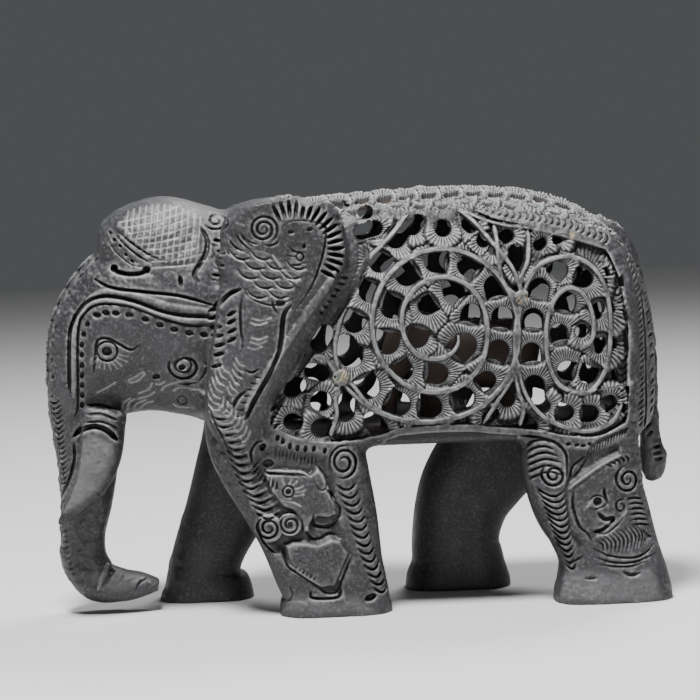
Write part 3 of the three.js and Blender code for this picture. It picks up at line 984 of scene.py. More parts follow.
LOOSE_EYES = (
    ((422, 222), (416, 229), 7), ((446, 229), (446, 229), 8.5), ((471, 225), (474, 228), 6),
    ((488, 239), (486, 241), 7), ((495, 251), (495, 252), 3.5), ((508, 238), (511, 236), 6.5),
    ((519, 252), (519, 265), 7.5), ((542, 246), (545, 243), 5.5), ((560, 241), (563, 240), 4),
    ((514, 379), (514, 390), 4), ((508, 397), (508, 400), 7.5), ((528, 421), (533, 427), 6),
    ((494, 414), (489, 418), 6), ((373, 421), (380, 430), 9), ((347, 402), (346, 414), 9),
    ((326, 428), (321, 429), 9.5), ((321, 402), (322, 402), 10), ((299, 386), (292, 390), 8),
    ((322, 374), (313, 372), 8), ((295, 423), (292, 422), 8), ((326, 334), (320, 344), 8.5),
    ((364, 233), (378, 229), 7.5), ((371, 213), (368, 214), 6.5), ((584, 331), (583, 332), 6.5),
    ((611, 271), (612, 275), 2.5), ((608, 281), (609, 283), 2.2), ((626, 279), (627, 286), 2),
    ((614, 306), (616, 311), 3), ((628, 312), (630, 320), 2), ((617, 341), (617, 347), 3),
    ((630, 333), (630, 349), 1.8), ((617, 373), (618, 379), 2.8), ((625, 407), (625, 411), 3),
    ((598, 309), (600, 316), 4.5), ((602, 344), (601, 350), 4.5), ((345, 207), (352, 205), 3),
)
GUIDE_STEMS = (
    ((429, 196), (420, 205), (409, 216), (398, 230), (383, 246), (371, 258), (357, 281), (346, 303), (338, 330),
     (335, 352), (340, 377)),
    ((438, 196), (455, 205), (476, 221), (496, 245), (512, 266), (520, 285), (523, 300)),
    ((523, 298), (517, 320), (515, 345), (519, 372), (527, 397), (544, 417), (570, 429), (593, 431), (614, 421),
     (623, 405)),
    ((340, 378), (352, 385), (366, 402), (384, 414), (410, 423), (440, 423)),
    ((341, 378), (336, 400), (337, 416), (331, 436)),
    ((338, 376), (327, 360), (315, 356), (303, 361), (291, 372), (284, 383), (279, 399)),
    ((523, 300), (505, 285), (500, 262), (499, 240), (497, 226)),
    ((523, 297), (521, 280), (529, 262), (531, 240), (531, 231)),
    ((523, 298), (517, 330), (514, 372), (508, 385), (497, 402), (484, 424)),
    ((515, 372), (519, 392), (524, 408), (521, 426)),
    ((352, 204), (370, 200), (395, 197), (430, 195)),
)
RIM = ((270, 424), (281, 433), (300, 441), (330, 445), (358, 443), (385, 437), (400, 431), (435, 428),
       (470, 427), (500, 430), (520, 431), (545, 434), (560, 437), (580, 440), (600, 438), (617, 432),
       (630, 424))
PANEL_EDGE = ((430, 195), (450, 204), (470, 213), (490, 221), (510, 226), (528, 228), (550, 232), (573, 238),
              (592, 243), (609, 249))
CLOTH_OUTLINE = ((344, 200), (430, 192), (500, 220), (573, 236), (612, 250), (624, 280), (632, 330), (632, 380),
                 (628, 424), (600, 438), (545, 434), (470, 427), (400, 431), (358, 443), (300, 441), (270, 424),
                 (276, 400), (304, 354), (338, 313), (359, 268), (361, 226))


def leaf_run(pen, eyes):
    """Drilled eyes one after another, each cupped by a leaf that fills the bar up to the next."""
    eyes = np.asarray(eyes, float)
    for index, (u, v, radius) in enumerate(eyes):
        centre = np.array([u, v])
        before = eyes[index - 1, :2] if index else 2 * centre - eyes[1, :2]
        run = centre - before
        pitch = np.hypot(*run)
        run = run / pitch
        clear = []
        if index:
            solid = max(pitch - 0.9 * radius - eyes[index - 1, 2], LEAST_BAR)
            clear.append((before, eyes[index - 1, 2] + solid))
        pen.hole([centre - run * radius * 1.1, centre], radius, clear)
        bar = LAST_BAR
        ahead = run
        if index + 1 < len(eyes):
            ahead = eyes[index + 1, :2] - centre
            gap = np.hypot(*ahead)
            ahead = ahead / gap
            bar = max(gap - 0.9 * eyes[index + 1, 2] - radius, LEAST_BAR)
        pen.leaf(centre, radius, bar, ahead)


def carve_cloth(pen):
    """The pierced covering over the body: two scrolls, their leaves, a rim and the panel's edge."""
    pen.level(CLOTH_OUTLINE, GROUND_HEIGHT, 1.2)
    cells, _, inside = pen.inside_of(CLOTH_OUTLINE)
    pen.sheet.claim[:] = -1
    pen.sheet.claim[cells] = np.where(inside, UNCLAIMED, -1)
    for eyes in (LEFT_SCROLL_EYES, COLUMN_EYES, RIGHT_SCROLL_EYES, LOWER_EYES):
        leaf_run(pen, eyes)
    # Ground under the rim, and cups along the top edge and the right margin
    pen.level([(388, 442), (402, 436), (435, 432.5), (470, 431.5), (500, 434.5), (520, 436), (523, 452),
               (440, 454), (384, 454)], -2.8, 1.5)
    pen.nested([(452, 198), (480, 206), (510, 214), (545, 219), (580, 227), (612, 240)], 26, 3.5, 5, 3, 2.2)
    pen.nested([(606, 259), (619, 282), (625, 312), (626, 345), (625, 378), (620, 408)], 22, 6, 6, 5, 2.2)
    for start, end, radius in LOOSE_EYES:
        pen.hole([start, end], radius)
    for start, end, radius in LOOSE_EYES[:LEAFY_LOOSE_EYES]:
        run = np.subtract(end, start).astype(float)
        length = np.hypot(*run)
        pen.leaf(end, radius, 7.5, run / length if length > 0.5 else (0.0, 1.0))
    # Stems lie over the leaves
    pen.stem(scroll_points(LEFT_SCROLL_EYE, LEFT_SCROLL_RADII, LEFT_SCROLL_TURNS), STEM_WIDTH, steps=1)
    pen.stem(RIGHT_SCROLL, STEM_WIDTH * 0.9)
    for stem in GUIDE_STEMS:
        pen.stem(stem, STEM_WIDTH * 0.85)
    pen.stem(RIM, 6.5)
    pen.stem(PANEL_EDGE, 4.5)
    for knot in KNOTS:
        pen.boss(knot, 8, 0.6)
    for u, v, radius in STAINS:
        pen.stain((u, v), radius)


def carve_head(pen):
    """Cap, headband, eye, cheek and mouth."""
    # The cap with its scored lattice and its hem
    cap = ((119, 234), (112, 228), (118, 217), (135, 207), (160, 202), (185, 206), (199, 216), (203, 232),
           (203, 250), (196, 264), (161, 264), (140, 252))
    pen.level(cap, 0.5, 2.0)
    for step in range(9):
        start = (119 + 4.1 * step, 223 + 5.6 * step)
        end = (181 + 3 * step, 206 + 6.9 * step)
        pen.scratch([start, ((start[0] + end[0]) / 2, (start[1] + end[1]) / 2 + 1.5), end], 1.2, 0.35)
    for step in range(13):
        top = 205 + 0.25 * (step - 5) ** 2
        left = 126 + 6.1 * step
        pen.scratch([(left + 2, top), (left, 232), (left - 3, min(238 + 3.6 * step, 264))], 1.2, 0.35)
    pen.groove([(118, 233), (130, 242), (146, 253), (162, 261)], 2.6, 1.3)
    pen.groove([(116, 237), (128, 248), (140, 257), (152, 264)], 2.4, 1.2)
    pen.groove([(105, 233), (114, 251), (131, 265), (146, 267)], 1.8, 0.6)
    for bead in ((110, 233.6), (114.3, 240.7), (120, 246.4), (125.7, 255), (132, 261.4)):
        pen.pit(bead, 2.2, 1.2, 0.7, -50)
    pen.groove([(161, 265), (180, 265.5), (197, 264)], 1.6, 0.4)
    pen.groove([(201, 228), (207, 239), (206.5, 252), (200, 264), (194, 274), (198.6, 282)], 6.0, 1.6)
    # Folds and drilled ends under the cap
    pen.groove([(112, 268), (118, 272.5), (130, 274.5), (142, 273), (148, 270)], 5.2, 2.6, 0.12)
    pen.pit((114, 269), 4, 2.4)
    pen.pit((146.5, 270), 4, 2.4)
    pen.pit((180.5, 281), 5.8, 2.2, 0.42, 95)
    pen.groove([(94, 280), (113, 288.5), (147, 292), (176, 295), (195, 299.5), (213, 305)], 3.8, 2.4, 0.2)
    # The headband: two cords, the cuts beside them and its beads
    band = [(69, 395), (69, 340), (73, 322), (78, 313), (87, 302.5), (101, 297), (120, 298), (140, 303),
            (161, 310.7), (183, 315), (211, 316.5)]
    for cord in (((80, 316), (90, 299), (103, 291.5), (122, 292), (142, 297), (163, 304), (185, 308.5),
                  (212, 311)),
                 ((73, 400), (73, 345), (75, 326), (81, 312), (90, 303.5), (103, 300.5), (122, 302), (143, 308),
                  (163, 315), (185, 320), (212, 321))):
        pen.ridge(cord, 6.5, 0.8, 0.05)
    pen.groove(band, 4.6, 1.7, 0.06)
    inner = [(74, 421), (77.5, 405), (77.5, 345), (79, 325), (82, 317), (94, 306.4), (108.6, 304), (129, 306),
             (149, 313), (169, 320), (190, 325), (209, 325.5)]
    pen.groove(inner, 2.6, 1.1, 0.06)
    beads = ((97, 315.5), (106, 313), (115.7, 313.2), (129.3, 315), (145.7, 319), (160, 324.6), (174.3, 329),
             (189.3, 332.5), (204, 334.5))
    for u, v in beads:
        pen.pit((u, v), 4.3, 1.5, 0.72, -14)
    for v in np.linspace(325, 407, 9):
        pen.pit((88.5 - 7 * smoothstep(v, 318, 345), v), 3.6, 1.4, 0.7, 80)
    # The eye, its brow and its lashes
    pen.pit((107, 351.5), 5.2, 1.8)
    pen.ring((107, 351.5), 10.4, 2.6, 1.3, 0.95)
    pen.groove([(93.4, 373), (95.6, 355), (97, 342), (103, 338.4), (110, 339.3), (120, 344.6), (131, 349.6),
                (139, 344.5)], 3.2, 1.5, 0.16)
    for step in range(9):
        angle = math.radians(205 + 17.5 * step)
        near = (107 + 12 * math.cos(angle), 351.5 - 11 * math.sin(angle))
        far = (107 + (20 + step % 2 * 2) * math.cos(angle) + 2, 351.5 - 19 * math.sin(angle))
        pen.scratch([near, far], 1.3, 0.3, 0.8)
    # Scored hairs under the eye
    for line in (((97, 394), (106, 389), (115.7, 383)), ((128.5, 380.7), (137, 376), (143.6, 372)),
                 ((131, 383), (138, 381), (145, 373.6)), ((138.6, 394.3), (148.6, 390), (152.1, 383.6)),
                 ((138.6, 400), (148.6, 397), (154.3, 392.9)), ((121.4, 414.3), (124.3, 404.3), (130, 400)),
                 ((127, 413), (129.3, 404.3), (135, 400.7)), ((133.6, 415.7), (135.7, 407), (145.7, 401.4)),
                 ((140, 411.4), (145.7, 405.7), (152.9, 402.9)),
                 ((122.9, 423.6), (130, 420.7), (138.6, 420.7))):
        pen.scratch(line, 1.7, 0.5)
    # The cheek's coil, drawn as a second eye, and the lines under it
    pen.coil((184.5, 366.5), 16.5, 1.15, 150, 0.84, 3.0, 1.4, 0.5)
    pen.boss((183, 365), 9, 0.5)
    pen.ring((183, 365), 8.2, 2.4, 1.2, 0.85)
    pen.pit((182, 367), 4.0, 1.8, 0.8, 20)
    pen.groove([(171, 377), (183, 384), (198, 381), (206, 370), (206, 356)], 2.2, 0.8)
    pen.pit((156.4, 376.6), 4, 1.5, 0.7)
    pen.scratch([(161.4, 390.7), (167.1, 385.7), (182.9, 381.4), (200, 381.4)], 1.8, 0.5)
    pen.scratch([(155.7, 384.3), (160, 385), (164.3, 382)], 1.8, 0.4)
    pen.scratch([(173.6, 391.4), (179.3, 388.6), (200, 389.6)], 1.8, 0.5)
    pen.ring((182.5, 401.4), 4.6, 1.6, 0.6)
    pen.scratch([(173.6, 405.7), (178.6, 409.3), (189.3, 409.3)], 1.6, 0.5)
    # Lips over the tusk, the tusk's collar and the tusk, rubbed pale
    for row in range(3):
        drop = 7.5 * row
        pen.groove([(86.5, 408 + drop), (101, 407 + drop), (118, 413.5 + drop)], 3.0, 1.1, 0.12)
    pen.groove([(73, 440), (82, 431), (95, 427), (107, 431), (117, 441)], 6.2, 2.8, 0.12)
    pen.groove([(73, 446), (73.5, 462), (69, 482), (60, 502), (53, 517)], 3.2, 1.2, 0.1)
    pen.rub([(78, 438), (95, 434), (116, 440), (117, 464), (104, 489), (84, 507), (58, 521), (64, 498),
             (74, 473)], 0.34)
    # The trunk: its rubbed tip, its rings and the folds at the tip
    pen.rub([(92, 568), (112, 574), (140, 574), (160, 582), (156, 592), (118, 604), (96, 600), (82, 586)],
            0.2, 4.0)
    pen.ticks([(55, 404), (58, 430), (61, 460), (62, 488)], 17, 11, 2.2, 0.9, 24, 2)
    pen.ticks([(63, 538), (66, 560), (72, 580)], 9, 7, 2.0, 0.6, 20, 1)
    pen.groove([(117, 570), (110, 581), (102, 594)], 5.0, 1.0, 0.2)
    pen.ridge([(108, 572), (101, 583), (97, 597)], 6.0, 0.7, 0.3)
    pen.groove([(135, 597), (140, 590), (148, 587)], 2.6, 0.8, 0.3)
    # The coil and cups between cap and ear
    pen.coil((217, 221.5), 13, 1.6, 200, 0.72, 2.4, 0.9, 0.15)
    for u, v in ((217.5, 241), (221, 252), (220, 264), (216, 275)):
        pen.pit((u, v), 4, 1.6, 0.42, -10)
        pen.groove([(u - 9, v - 3), (u - 5, v + 4), (u + 2, v + 6)], 1.6, 0.5)


def carve_ear(pen):
    """The ear's crest, coil, small bird face, scales and long lobe."""
    # Its rounded rim and border, its coil and the crest's rays
    rim = [(334, 229), (341, 243), (345, 262), (332, 284), (318, 305), (305, 323), (287, 349), (276, 366),
           (264, 384), (249, 414)]
    pen.bevel(rim, 26, 3.4)
    border = [(336, 272), (327, 287), (313, 305), (299, 325), (283, 348), (270, 368), (258, 386), (246, 410)]
    pen.ridge(border, 9, 0.9, 0.1)
    pen.coil((263.3, 229.2), 15, 2.6, 300, 1.0, 2.8, 1.2, 0.08)
    pen.groove([(264, 244.5), (271, 245.5), (277, 243), (279.5, 238)], 2.4, 1.0)
    crest = [(276, 212), (284, 208.5), (293, 207.5), (302, 209), (311, 210.5), (319.5, 215.5), (327, 222),
             (333.5, 231), (337, 240), (338.5, 250), (336.5, 262), (330, 275)]
    pen.ticks(crest, 17, 17, 4.6, 2.2, 0, 0, 1.5)
    pen.ticks([(340, 276), (333, 288), (325, 299), (317, 310)], 7, 10, 3.0, 1.0, 14, 1, -6, 5)
    # The small bird face: outline, eyes and beak
    pen.groove([(283, 228), (288, 222.5), (297, 220.5), (311.7, 221.7), (325, 226), (326, 240), (321.7, 260),
                (313.3, 283.3), (303, 300), (295, 310)], 2.4, 1.0)
    pen.pit((290.8, 232), 3.4, 1.1, 0.7)
    pen.pit((310, 229.2), 3.4, 1.0, 0.7)
    pen.groove([(304.5, 243), (304, 249)], 3.2, 1.2)
    pen.groove([(289, 246), (294, 251.5), (305, 252.5)], 2.2, 1.0)
    pen.ring((300, 257), 3.6, 1.8, 0.9)
    pen.groove([(286, 255), (292, 256.5), (296, 257)], 1.8, 0.7)
    pen.groove([(289, 264.5), (298, 265), (305, 262)], 2.2, 1.0)
    pen.groove([(269, 256), (281, 272), (294, 285), (303, 288)], 1.8, 0.8)
    pen.scratch([(272.5, 255), (284, 270), (297, 283)], 1.5, 0.3)
    # Scales under the coil, and the strokes in front of them
    for row in range(5):
        v = 254 + 9.6 * row
        left = 240 + 4.2 * row
        for step in range(2 + (row in (1, 2))):
            u = left + 21 * step + (10 if row % 2 else 0)
            pen.groove([(u - 11, v - 4), (u - 6, v + 2.5), (u + 2, v + 5.5), (u + 11, v + 4)], 2.6, 1.0, 0.2)
            pen.scratch([(u - 10, v - 1.5), (u - 5, v + 4.5), (u + 2, v + 7.5), (u + 10, v + 6.5)], 1.5, 0.1)
            pen.scratch([(u - 6, v - 3), (u + 2, v - 2), (u + 9, v + 1.5)], 1.2, 0.2, 0.6)
    pen.groove([(240, 283), (250, 296.7), (262, 303.3), (276, 305), (296, 298)], 2.2, 0.9)
    for line in (((226.7, 251.7), (231, 254.5), (237, 255)), ((229, 240), (235, 247), (244, 252)),
                 ((235, 233), (241, 242), (250, 250)), ((240, 231.7), (245, 240), (253.3, 247.5)),
                 ((245, 238), (250, 242), (258.3, 245))):
        pen.groove(line, 2.2, 0.9)
    # The lobe's long fold, its inner line and scored strokes
    pen.groove([(291, 305), (284, 315), (281.5, 338), (279, 352), (271.7, 369), (263, 385), (253, 403),
                (246, 420)], 5.5, 2.2, 0.12)
    pen.pit((280.5, 303), 5, 1.8, 0.8)
    pen.groove([(272, 300), (274, 308), (278, 314)], 2.6, 1.2)
    pen.groove([(242, 298), (240.5, 312), (241, 330), (243, 345), (241, 352)], 2.6, 1.1)
    for left, v, right in ((252, 318.5, 271), (251, 323, 267), (251, 337.5, 267), (250, 342, 266),
                           (248, 347.5, 262)):
        pen.scratch([(left, v), ((left + right) / 2, v + 1.5), (right, v - 1)], 1.7, 0.4)
    # Cups down the lobe, and its hair
    for place in ((214.5, 312), (214.5, 320), (217, 328.5), (218.3, 337), (219.5, 346), (219, 355),
                  (217.5, 366.5)):
        pen.pit(place, 6.2, 1.8, 0.36, 14)
    for place in ((231.7, 314), (231.7, 322), (232.5, 331), (232, 340)):
        pen.pit(place, 5.4, 1.6, 0.4, 30)
    pen.groove([(214, 310), (222, 302.5), (230, 294.5), (241, 289)], 5.0, 2.4, 0.2)
    pen.groove([(245, 370), (252, 372.5), (259, 369)], 2.6, 1.4)
    pen.groove([(246, 391), (238, 398), (232, 410)], 4.4, 1.6)
    pen.ticks([(241, 374), (235, 390), (228, 408)], 6, 14, 1.8, 0.7, -28, 2)
    pen.ticks([(225, 366), (218, 384), (213, 402), (214, 420)], 9, 17, 1.7, 0.45, -36, 3, scored=True)
    pen.ticks([(240, 362), (236, 378), (231, 392)], 6, 12, 1.6, 0.4, -30, 2, scored=True)
    pen.ticks([(258, 377), (249, 391), (243, 404), (239, 416)], 7, 9, 2.0, 0.8, 20, 1)
    pen.ticks([(288, 336), (281, 349), (270, 367), (259, 388), (249, 410)], 9, 4, 2.2, 0.5, 0)


def carve_front_leg(pen):
    """Feathered edge, face in profile with its coils and beard, and the ladder of cups behind it."""
    # The sunk ground, and the face, beard and coils that stand up from it
    pen.level([(256, 440), (300, 446), (330, 452), (338, 470), (339, 500), (348, 540), (358, 556), (342, 600),
               (318, 594), (280, 562), (262, 542), (250, 500), (246, 460)], -1.9, 4.5)
    pen.level([(262, 472), (285, 471), (309, 473), (318, 466), (326, 474), (331, 486), (334, 496), (339, 507),
               (338, 516), (330, 520), (318, 519), (312, 524), (311, 533), (303, 535), (299, 522), (291, 512),
               (281, 508), (270, 494)], 0.5, 1.8)
    pen.level([(283, 545), (292, 540), (306, 540), (318, 542), (330, 536), (342, 538), (352, 553), (345, 571),
               (337, 589), (319, 591), (297, 577), (286, 562)], 0.5, 2.2)
    pen.boss((269, 529.5), 14, 0.35)
    pen.boss((290, 525), 11.5, 0.35)
    # The feathered edge, with scored lines between the feathers
    left = [(208, 408), (213, 422), (221, 436), (228, 454), (234, 471), (239, 483), (246, 496), (252, 506),
            (256, 514)]
    right = [(228, 418), (239, 437), (246, 452), (250, 464), (254, 475), (262, 486), (270, 496), (277, 504),
             (280, 514)]
    pen.between(left, right, 14, -0.24, 3.0, 1.3)
    pen.between([(u + 1, v - 3) for u, v in left], [(u, v - 3.5) for u, v in right], 14, -0.24, 1.4, 0.05,
                scored=True)
    pen.ticks([(221, 402), (230, 412), (239, 424), (246, 436)], 8, 13, 1.7, 0.45, 25, 2, scored=True)
    # Beads under the cloth, and cups beside the feathers
    for place in ((277.5, 438), (283, 441.5), (290, 446), (297.5, 448.3), (305.5, 448.8), (314, 449),
                  (325, 451)):
        pen.pit(place, 3.6, 1.6, 0.6, 80)
    for place in ((274, 407), (274, 416), (277, 425)):
        pen.pit(place, 5.6, 1.5, 0.4, 48)
    # The face's curl, hair and brow
    pen.groove([(252, 462), (251, 452), (256, 443), (263, 441)], 3.0, 1.4)
    pen.pit((263, 447), 4.2, 2.2, 0.7, 70)
    pen.pit((268.5, 464), 5.6, 1.8, 0.8)
    pen.ticks([(254, 466), (259, 475), (267, 481), (276, 486)], 8, 11, 2.2, 0.9, 18, 1)
    pen.ticks([(276, 452), (290, 456), (304, 460), (316, 462)], 12, 12, 2.0, 0.6, 8, 0)
    pen.ridge([(267, 471), (288, 471.6), (303, 473), (313, 480)], 3.2, 0.4, 0.3, -0.4)
    pen.groove([(262, 474), (284, 475), (300, 477), (309, 483)], 1.8, 0.6)
    pen.groove([(309, 463), (318, 467), (326, 478), (326, 488), (320, 490), (314, 481)], 2.0, 0.8)
    # Its eye, lashes, nose, mouth and chin
    pen.pit((288.3, 491.7), 3.0, 1.4)
    pen.ring((288.3, 491.7), 5.6, 2.0, 0.9)
    for near, far in (((284, 484), (282, 479)), ((289, 484), (291, 479)), ((293, 485), (297, 481)),
                      ((295, 489), (303, 486)), ((296, 492), (305, 490)), ((295, 496), (304, 494))):
        pen.scratch([near, far], 1.7, 0.5)
    pen.scratch([(282, 501), (293, 502), (301, 506)], 1.7, 0.5)
    pen.groove([(327, 490), (331, 494), (334, 501)], 4.0, 1.7)
    pen.groove([(334, 501), (340, 508), (339, 517), (332, 521)], 2.4, 1.1)
    pen.groove([(314, 514), (313, 524), (322, 527.5), (331, 526), (338, 520)], 3.6, 1.7, 0.25)
    pen.groove([(305, 531), (312, 539), (320, 539), (329, 534), (338, 536)], 3.0, 1.4, 0.25)
    # Coils at the jaw
    pen.coil((269, 529), 12.5, 2.0, 110, 1.0, 2.8, 1.2, 0.15)
    pen.coil((290.5, 525), 10.5, 1.7, 120, 1.0, 2.6, 1.1, 0.2)
    pen.pit((290, 525), 3.2, 1.1)
    pen.groove([(258, 520), (262, 540), (272, 552), (280, 555)], 2.4, 1.0)
    # The beard with its stippling
    beard = [(283, 550), (288, 567), (303, 577), (318, 586.5), (326, 593), (337, 592), (344, 575), (351.5, 553)]
    pen.groove(beard, 2.6, 1.0, 0.1)
    pen.scratch([(290, 566), (303, 575), (319, 585)], 1.8, 0.2)
    pen.scratch([(340, 580), (346, 566), (351, 555)], 1.8, 0.2)
    pen.ticks([(294, 572), (303, 577), (313, 582)], 6, 7, 2.2, 0.8, 0, 0, -3)
    rough = np.random.default_rng(11)
    for step in range(26):
        pen.pit((294 + rough.uniform(0, 50), 548 + rough.uniform(0, 28)), rough.uniform(0.8, 1.5), 0.4)
    pen.groove([(311, 592), (312, 598), (326, 599), (339, 597), (341, 589)], 3.4, 1.8, 0.15)
    # The large coil, the ladder of cups and the rubbed foot
    pen.coil((344, 463), 14.5, 1.7, 250, 1.1, 3.2, 1.4, 0.28)
    pen.groove([(330, 470), (331, 456), (339, 447), (350, 446)], 2.4, 1.0)
    pen.nested([(346, 484), (353, 505), (361, 532), (370, 560), (381, 588)], 14, 9.5, 7, 6.5, 2.8, 1.3, -2.5)
    pen.pit((370.8, 598.3), 6.4, 2.0, 0.6, 15)
    pen.groove([(290, 586), (293, 597), (287, 606)], 2.4, 0.6)
    pen.rub([(284, 586), (306, 592), (336, 600), (356, 590), (376, 606), (388, 618), (280, 618)], 0.2, 4.0)


def carve_hind_leg(pen):
    """Striped oval with its coil and cups, the bearded face in profile, and the anklets."""
    # The sunk ground, and the face and coils that stand up from it
    pen.level([(566, 448), (590, 447), (624, 440), (622, 455), (600, 468), (570, 490), (574, 530), (590, 545),
               (580, 552), (570, 540), (562, 500)], -1.8, 3.5)
    pen.level([(572, 490), (600, 468), (622, 458), (617, 476), (616, 500), (618, 512), (608, 528), (596, 532),
               (586, 532), (578, 524), (575, 508)], 0.4, 1.3)
    pen.boss((628.6, 480), 15, 0.35)
    pen.boss((554.3, 475.7), 14, 0.35)
    # The striped oval, its coil and the cups below it
    pen.groove([(523, 437), (539, 438), (556, 443), (566, 454), (567.5, 468), (567, 482)], 3.4, 1.5)
    for step in range(6):
        v = 441 + 6.4 * step
        reach = 10 + 2.2 * min(step, 3)
        u = 541 + 1.4 * step
        line = [(u - reach - 6, v + 12), (u - 7, v + 2), (u + 4, v - 0.5), (u + reach, v + 3)]
        pen.groove(line, 3.0, 1.1, 0.25)
    pen.coil((554.3, 475.7), 12.5, 1.8, 130, 1.0, 3.2, 1.5, 0.15)
    pen.nested([(552, 489), (556, 505), (561, 525), (566, 545), (571, 563)], 13, 13, 5, 8, 2.6, 1.2, -3)
    # The face: brow, profile, eye, nose and mouth
    pen.groove([(571, 480), (573, 468), (585.7, 456)], 2.6, 1.3)
    pen.groove([(571, 482), (581, 470), (588, 457)], 2.2, 1.1)
    pen.ridge([(569, 489), (581, 480), (601, 466), (621, 456)], 4.0, 0.5, 0.3, -0.2)
    pen.groove([(574, 490), (573, 503), (575, 514), (580, 527), (588, 534), (592, 541)], 3.0, 1.3)
    pen.pit((597.6, 501.6), 4.8, 2.0)
    pen.groove([(589, 500), (594, 496), (601, 496), (605, 500)], 2.2, 0.9)
    pen.groove([(588, 508), (596, 509), (604, 506), (609, 501)], 2.0, 0.8)
    pen.groove([(604.3, 488), (605, 496), (608, 504)], 3.6, 1.6)
    for step in range(3):
        pen.scratch([(593 - 2.5 * step, 500 + 3 * step), (588 - 2 * step, 503 + 3.4 * step)], 1.6, 0.4)
    pen.groove([(598, 513), (605, 519), (613, 518.5), (611, 524)], 5.4, 2.2, 0.2)
    pen.groove([(594, 532), (602, 530), (609, 525)], 4.4, 2.0, 0.2)
    pen.scratch([(597, 536.5), (606, 533), (616, 524), (627, 511)], 2.0, 0.3)
    pen.groove([(595, 530), (604, 534), (615, 527), (624, 517)], 3.0, 1.3)
    # Coils behind the face, the crest above it and the fan below
    pen.coil((628.6, 480), 13.5, 1.9, 100, 1.05, 2.8, 1.3, 0.12)
    pen.coil((621.4, 506.5), 6.4, 1.2, 60, 1.1, 2.2, 1.0, 0.3)
    for step in range(6):
        v = 498.5 + 5.2 * step
        pen.groove([(627 + step, v + 1), (636 + step, v), (644 + 1.6 * step, v + 1.6)], 2.4, 1.1, 0.3)
    pen.between([(588, 458), (597, 452), (607, 446), (618, 440), (626, 436)],
                [(598, 440), (606, 436), (614, 433), (622, 430), (630, 428)], 14, 0.14, 2.2, 1.1)
    pen.ticks([(609, 467), (616, 463), (622, 460), (627, 459)], 5, 8, 2.2, 0.9, 20, 2)
    pen.between([(597, 541), (601.5, 537.5), (607, 534.5), (613, 532), (619, 529), (625, 526.5), (632, 525),
                 (639, 525.5), (645, 530), (650, 537)],
                [(604, 552), (610, 553), (616, 553), (623, 553), (630, 552), (636, 550), (642, 547.5),
                 (646, 544.5), (650, 541.5), (653, 539)], 15, 0.2, 2.2, 0.9)
    # Anklets, beads under the cloth and the rubbed foot
    pen.groove([(592, 548), (610, 556), (631, 558), (646, 554), (656, 544)], 2.6, 1.2)
    pen.groove([(594, 557), (616, 563), (638, 561.5), (657, 554)], 2.6, 1.2)
    pen.groove([(597, 564.5), (617, 567), (635, 566), (648, 561)], 2.2, 1.0)
    pen.groove([(624, 572), (631, 575), (640, 573.5)], 4.6, 1.8)
    pen.pit((591.4, 578.8), 6.8, 1.0, 0.3, 0)
    for place in ((568.6, 444.3), (577, 445), (583.5, 445.7), (590, 444)):
        pen.pit(place, 2.6, 1.2, 0.8)
    pen.groove([(571, 567), (576, 562), (584, 556)], 2.6, 1.0)
    pen.rub([(560, 572), (590, 566), (620, 572), (655, 562), (672, 606), (552, 606)], 0.24, 4.0)


def carve_tail(pen):
    """Notches down the tail, which lies along the rump."""
    for u, v in ((637, 268), (638.5, 283), (640.5, 297), (641, 309), (641.7, 320), (643, 331.7), (644.2, 341),
                 (645, 352), (645, 366), (645.5, 377), (645.8, 387.5), (645.4, 396), (645.2, 405), (645.4, 415),
                 (648.6, 425.7), (650.7, 433.6)):
        pen.pit((u, v), 4.2, 1.4, 0.42, 42)
    for u, v in ((657, 447), (657, 453), (658.6, 459)):
        pen.pit((u, v), 4.6, 1.6, 0.42, 8)
    pen.groove([(633, 290), (636, 330), (637, 380), (637, 432)], 2.6, 1.2, 0.1)
    pen.ticks([(620, 256), (628, 284), (631, 320), (631.5, 370), (631, 418)], 30, 7, 2.2, 0.8, 32, 1)
    pen.rub([(640, 424), (652, 430), (663, 456), (660, 480), (644, 478), (640, 450)], 0.3)


def carve_roof(pen):
    """The panel along the back: leaves that cup drilled eyes, on each side of a plain middle rib."""
    pen.level([(-80, -5), (272, -5), (272, 66), (-80, 66)], -0.9, 0.5)
    rough = np.random.default_rng(5)
    for index in range(15):
        u = -66 + 22.4 * index
        v = 50 + 3 * math.sin(index * 2.1)
        narrow = min(1.0, (290 - u) / 55)
        pen.leaf(np.array([u, v * narrow]), 6.5, 8, np.array([0.5, -1.0]))
        pen.pit((u, v * narrow), 6.5, 2.4)
        pen.leaf(np.array([u + 11, 26 * narrow]), 7, 8, np.array([0.6, 1.0]))
        if -20 < u * PIXEL < 84:
            pen.hole([(u + 11, 26), (u + 13, 26)], 6.5)
        else:
            pen.pit((u + 11, 26 * narrow), 6.5, 2.2)
    for step in range(60):
        u = rough.uniform(-78, 270)
        v = rough.uniform(6, 60)
        pen.groove([(u, v), (u + rough.uniform(-6, 6), v + rough.uniform(4, 9))], 2.0, 0.5)
    pen.stem([(-80, 0), (100, 0), (272, 0)], 9, 0.0)
    pen.stem([(-80, 66), (60, 68), (170, 68), (232, 64), (262, 46), (284, 8)], 6, 0.1)


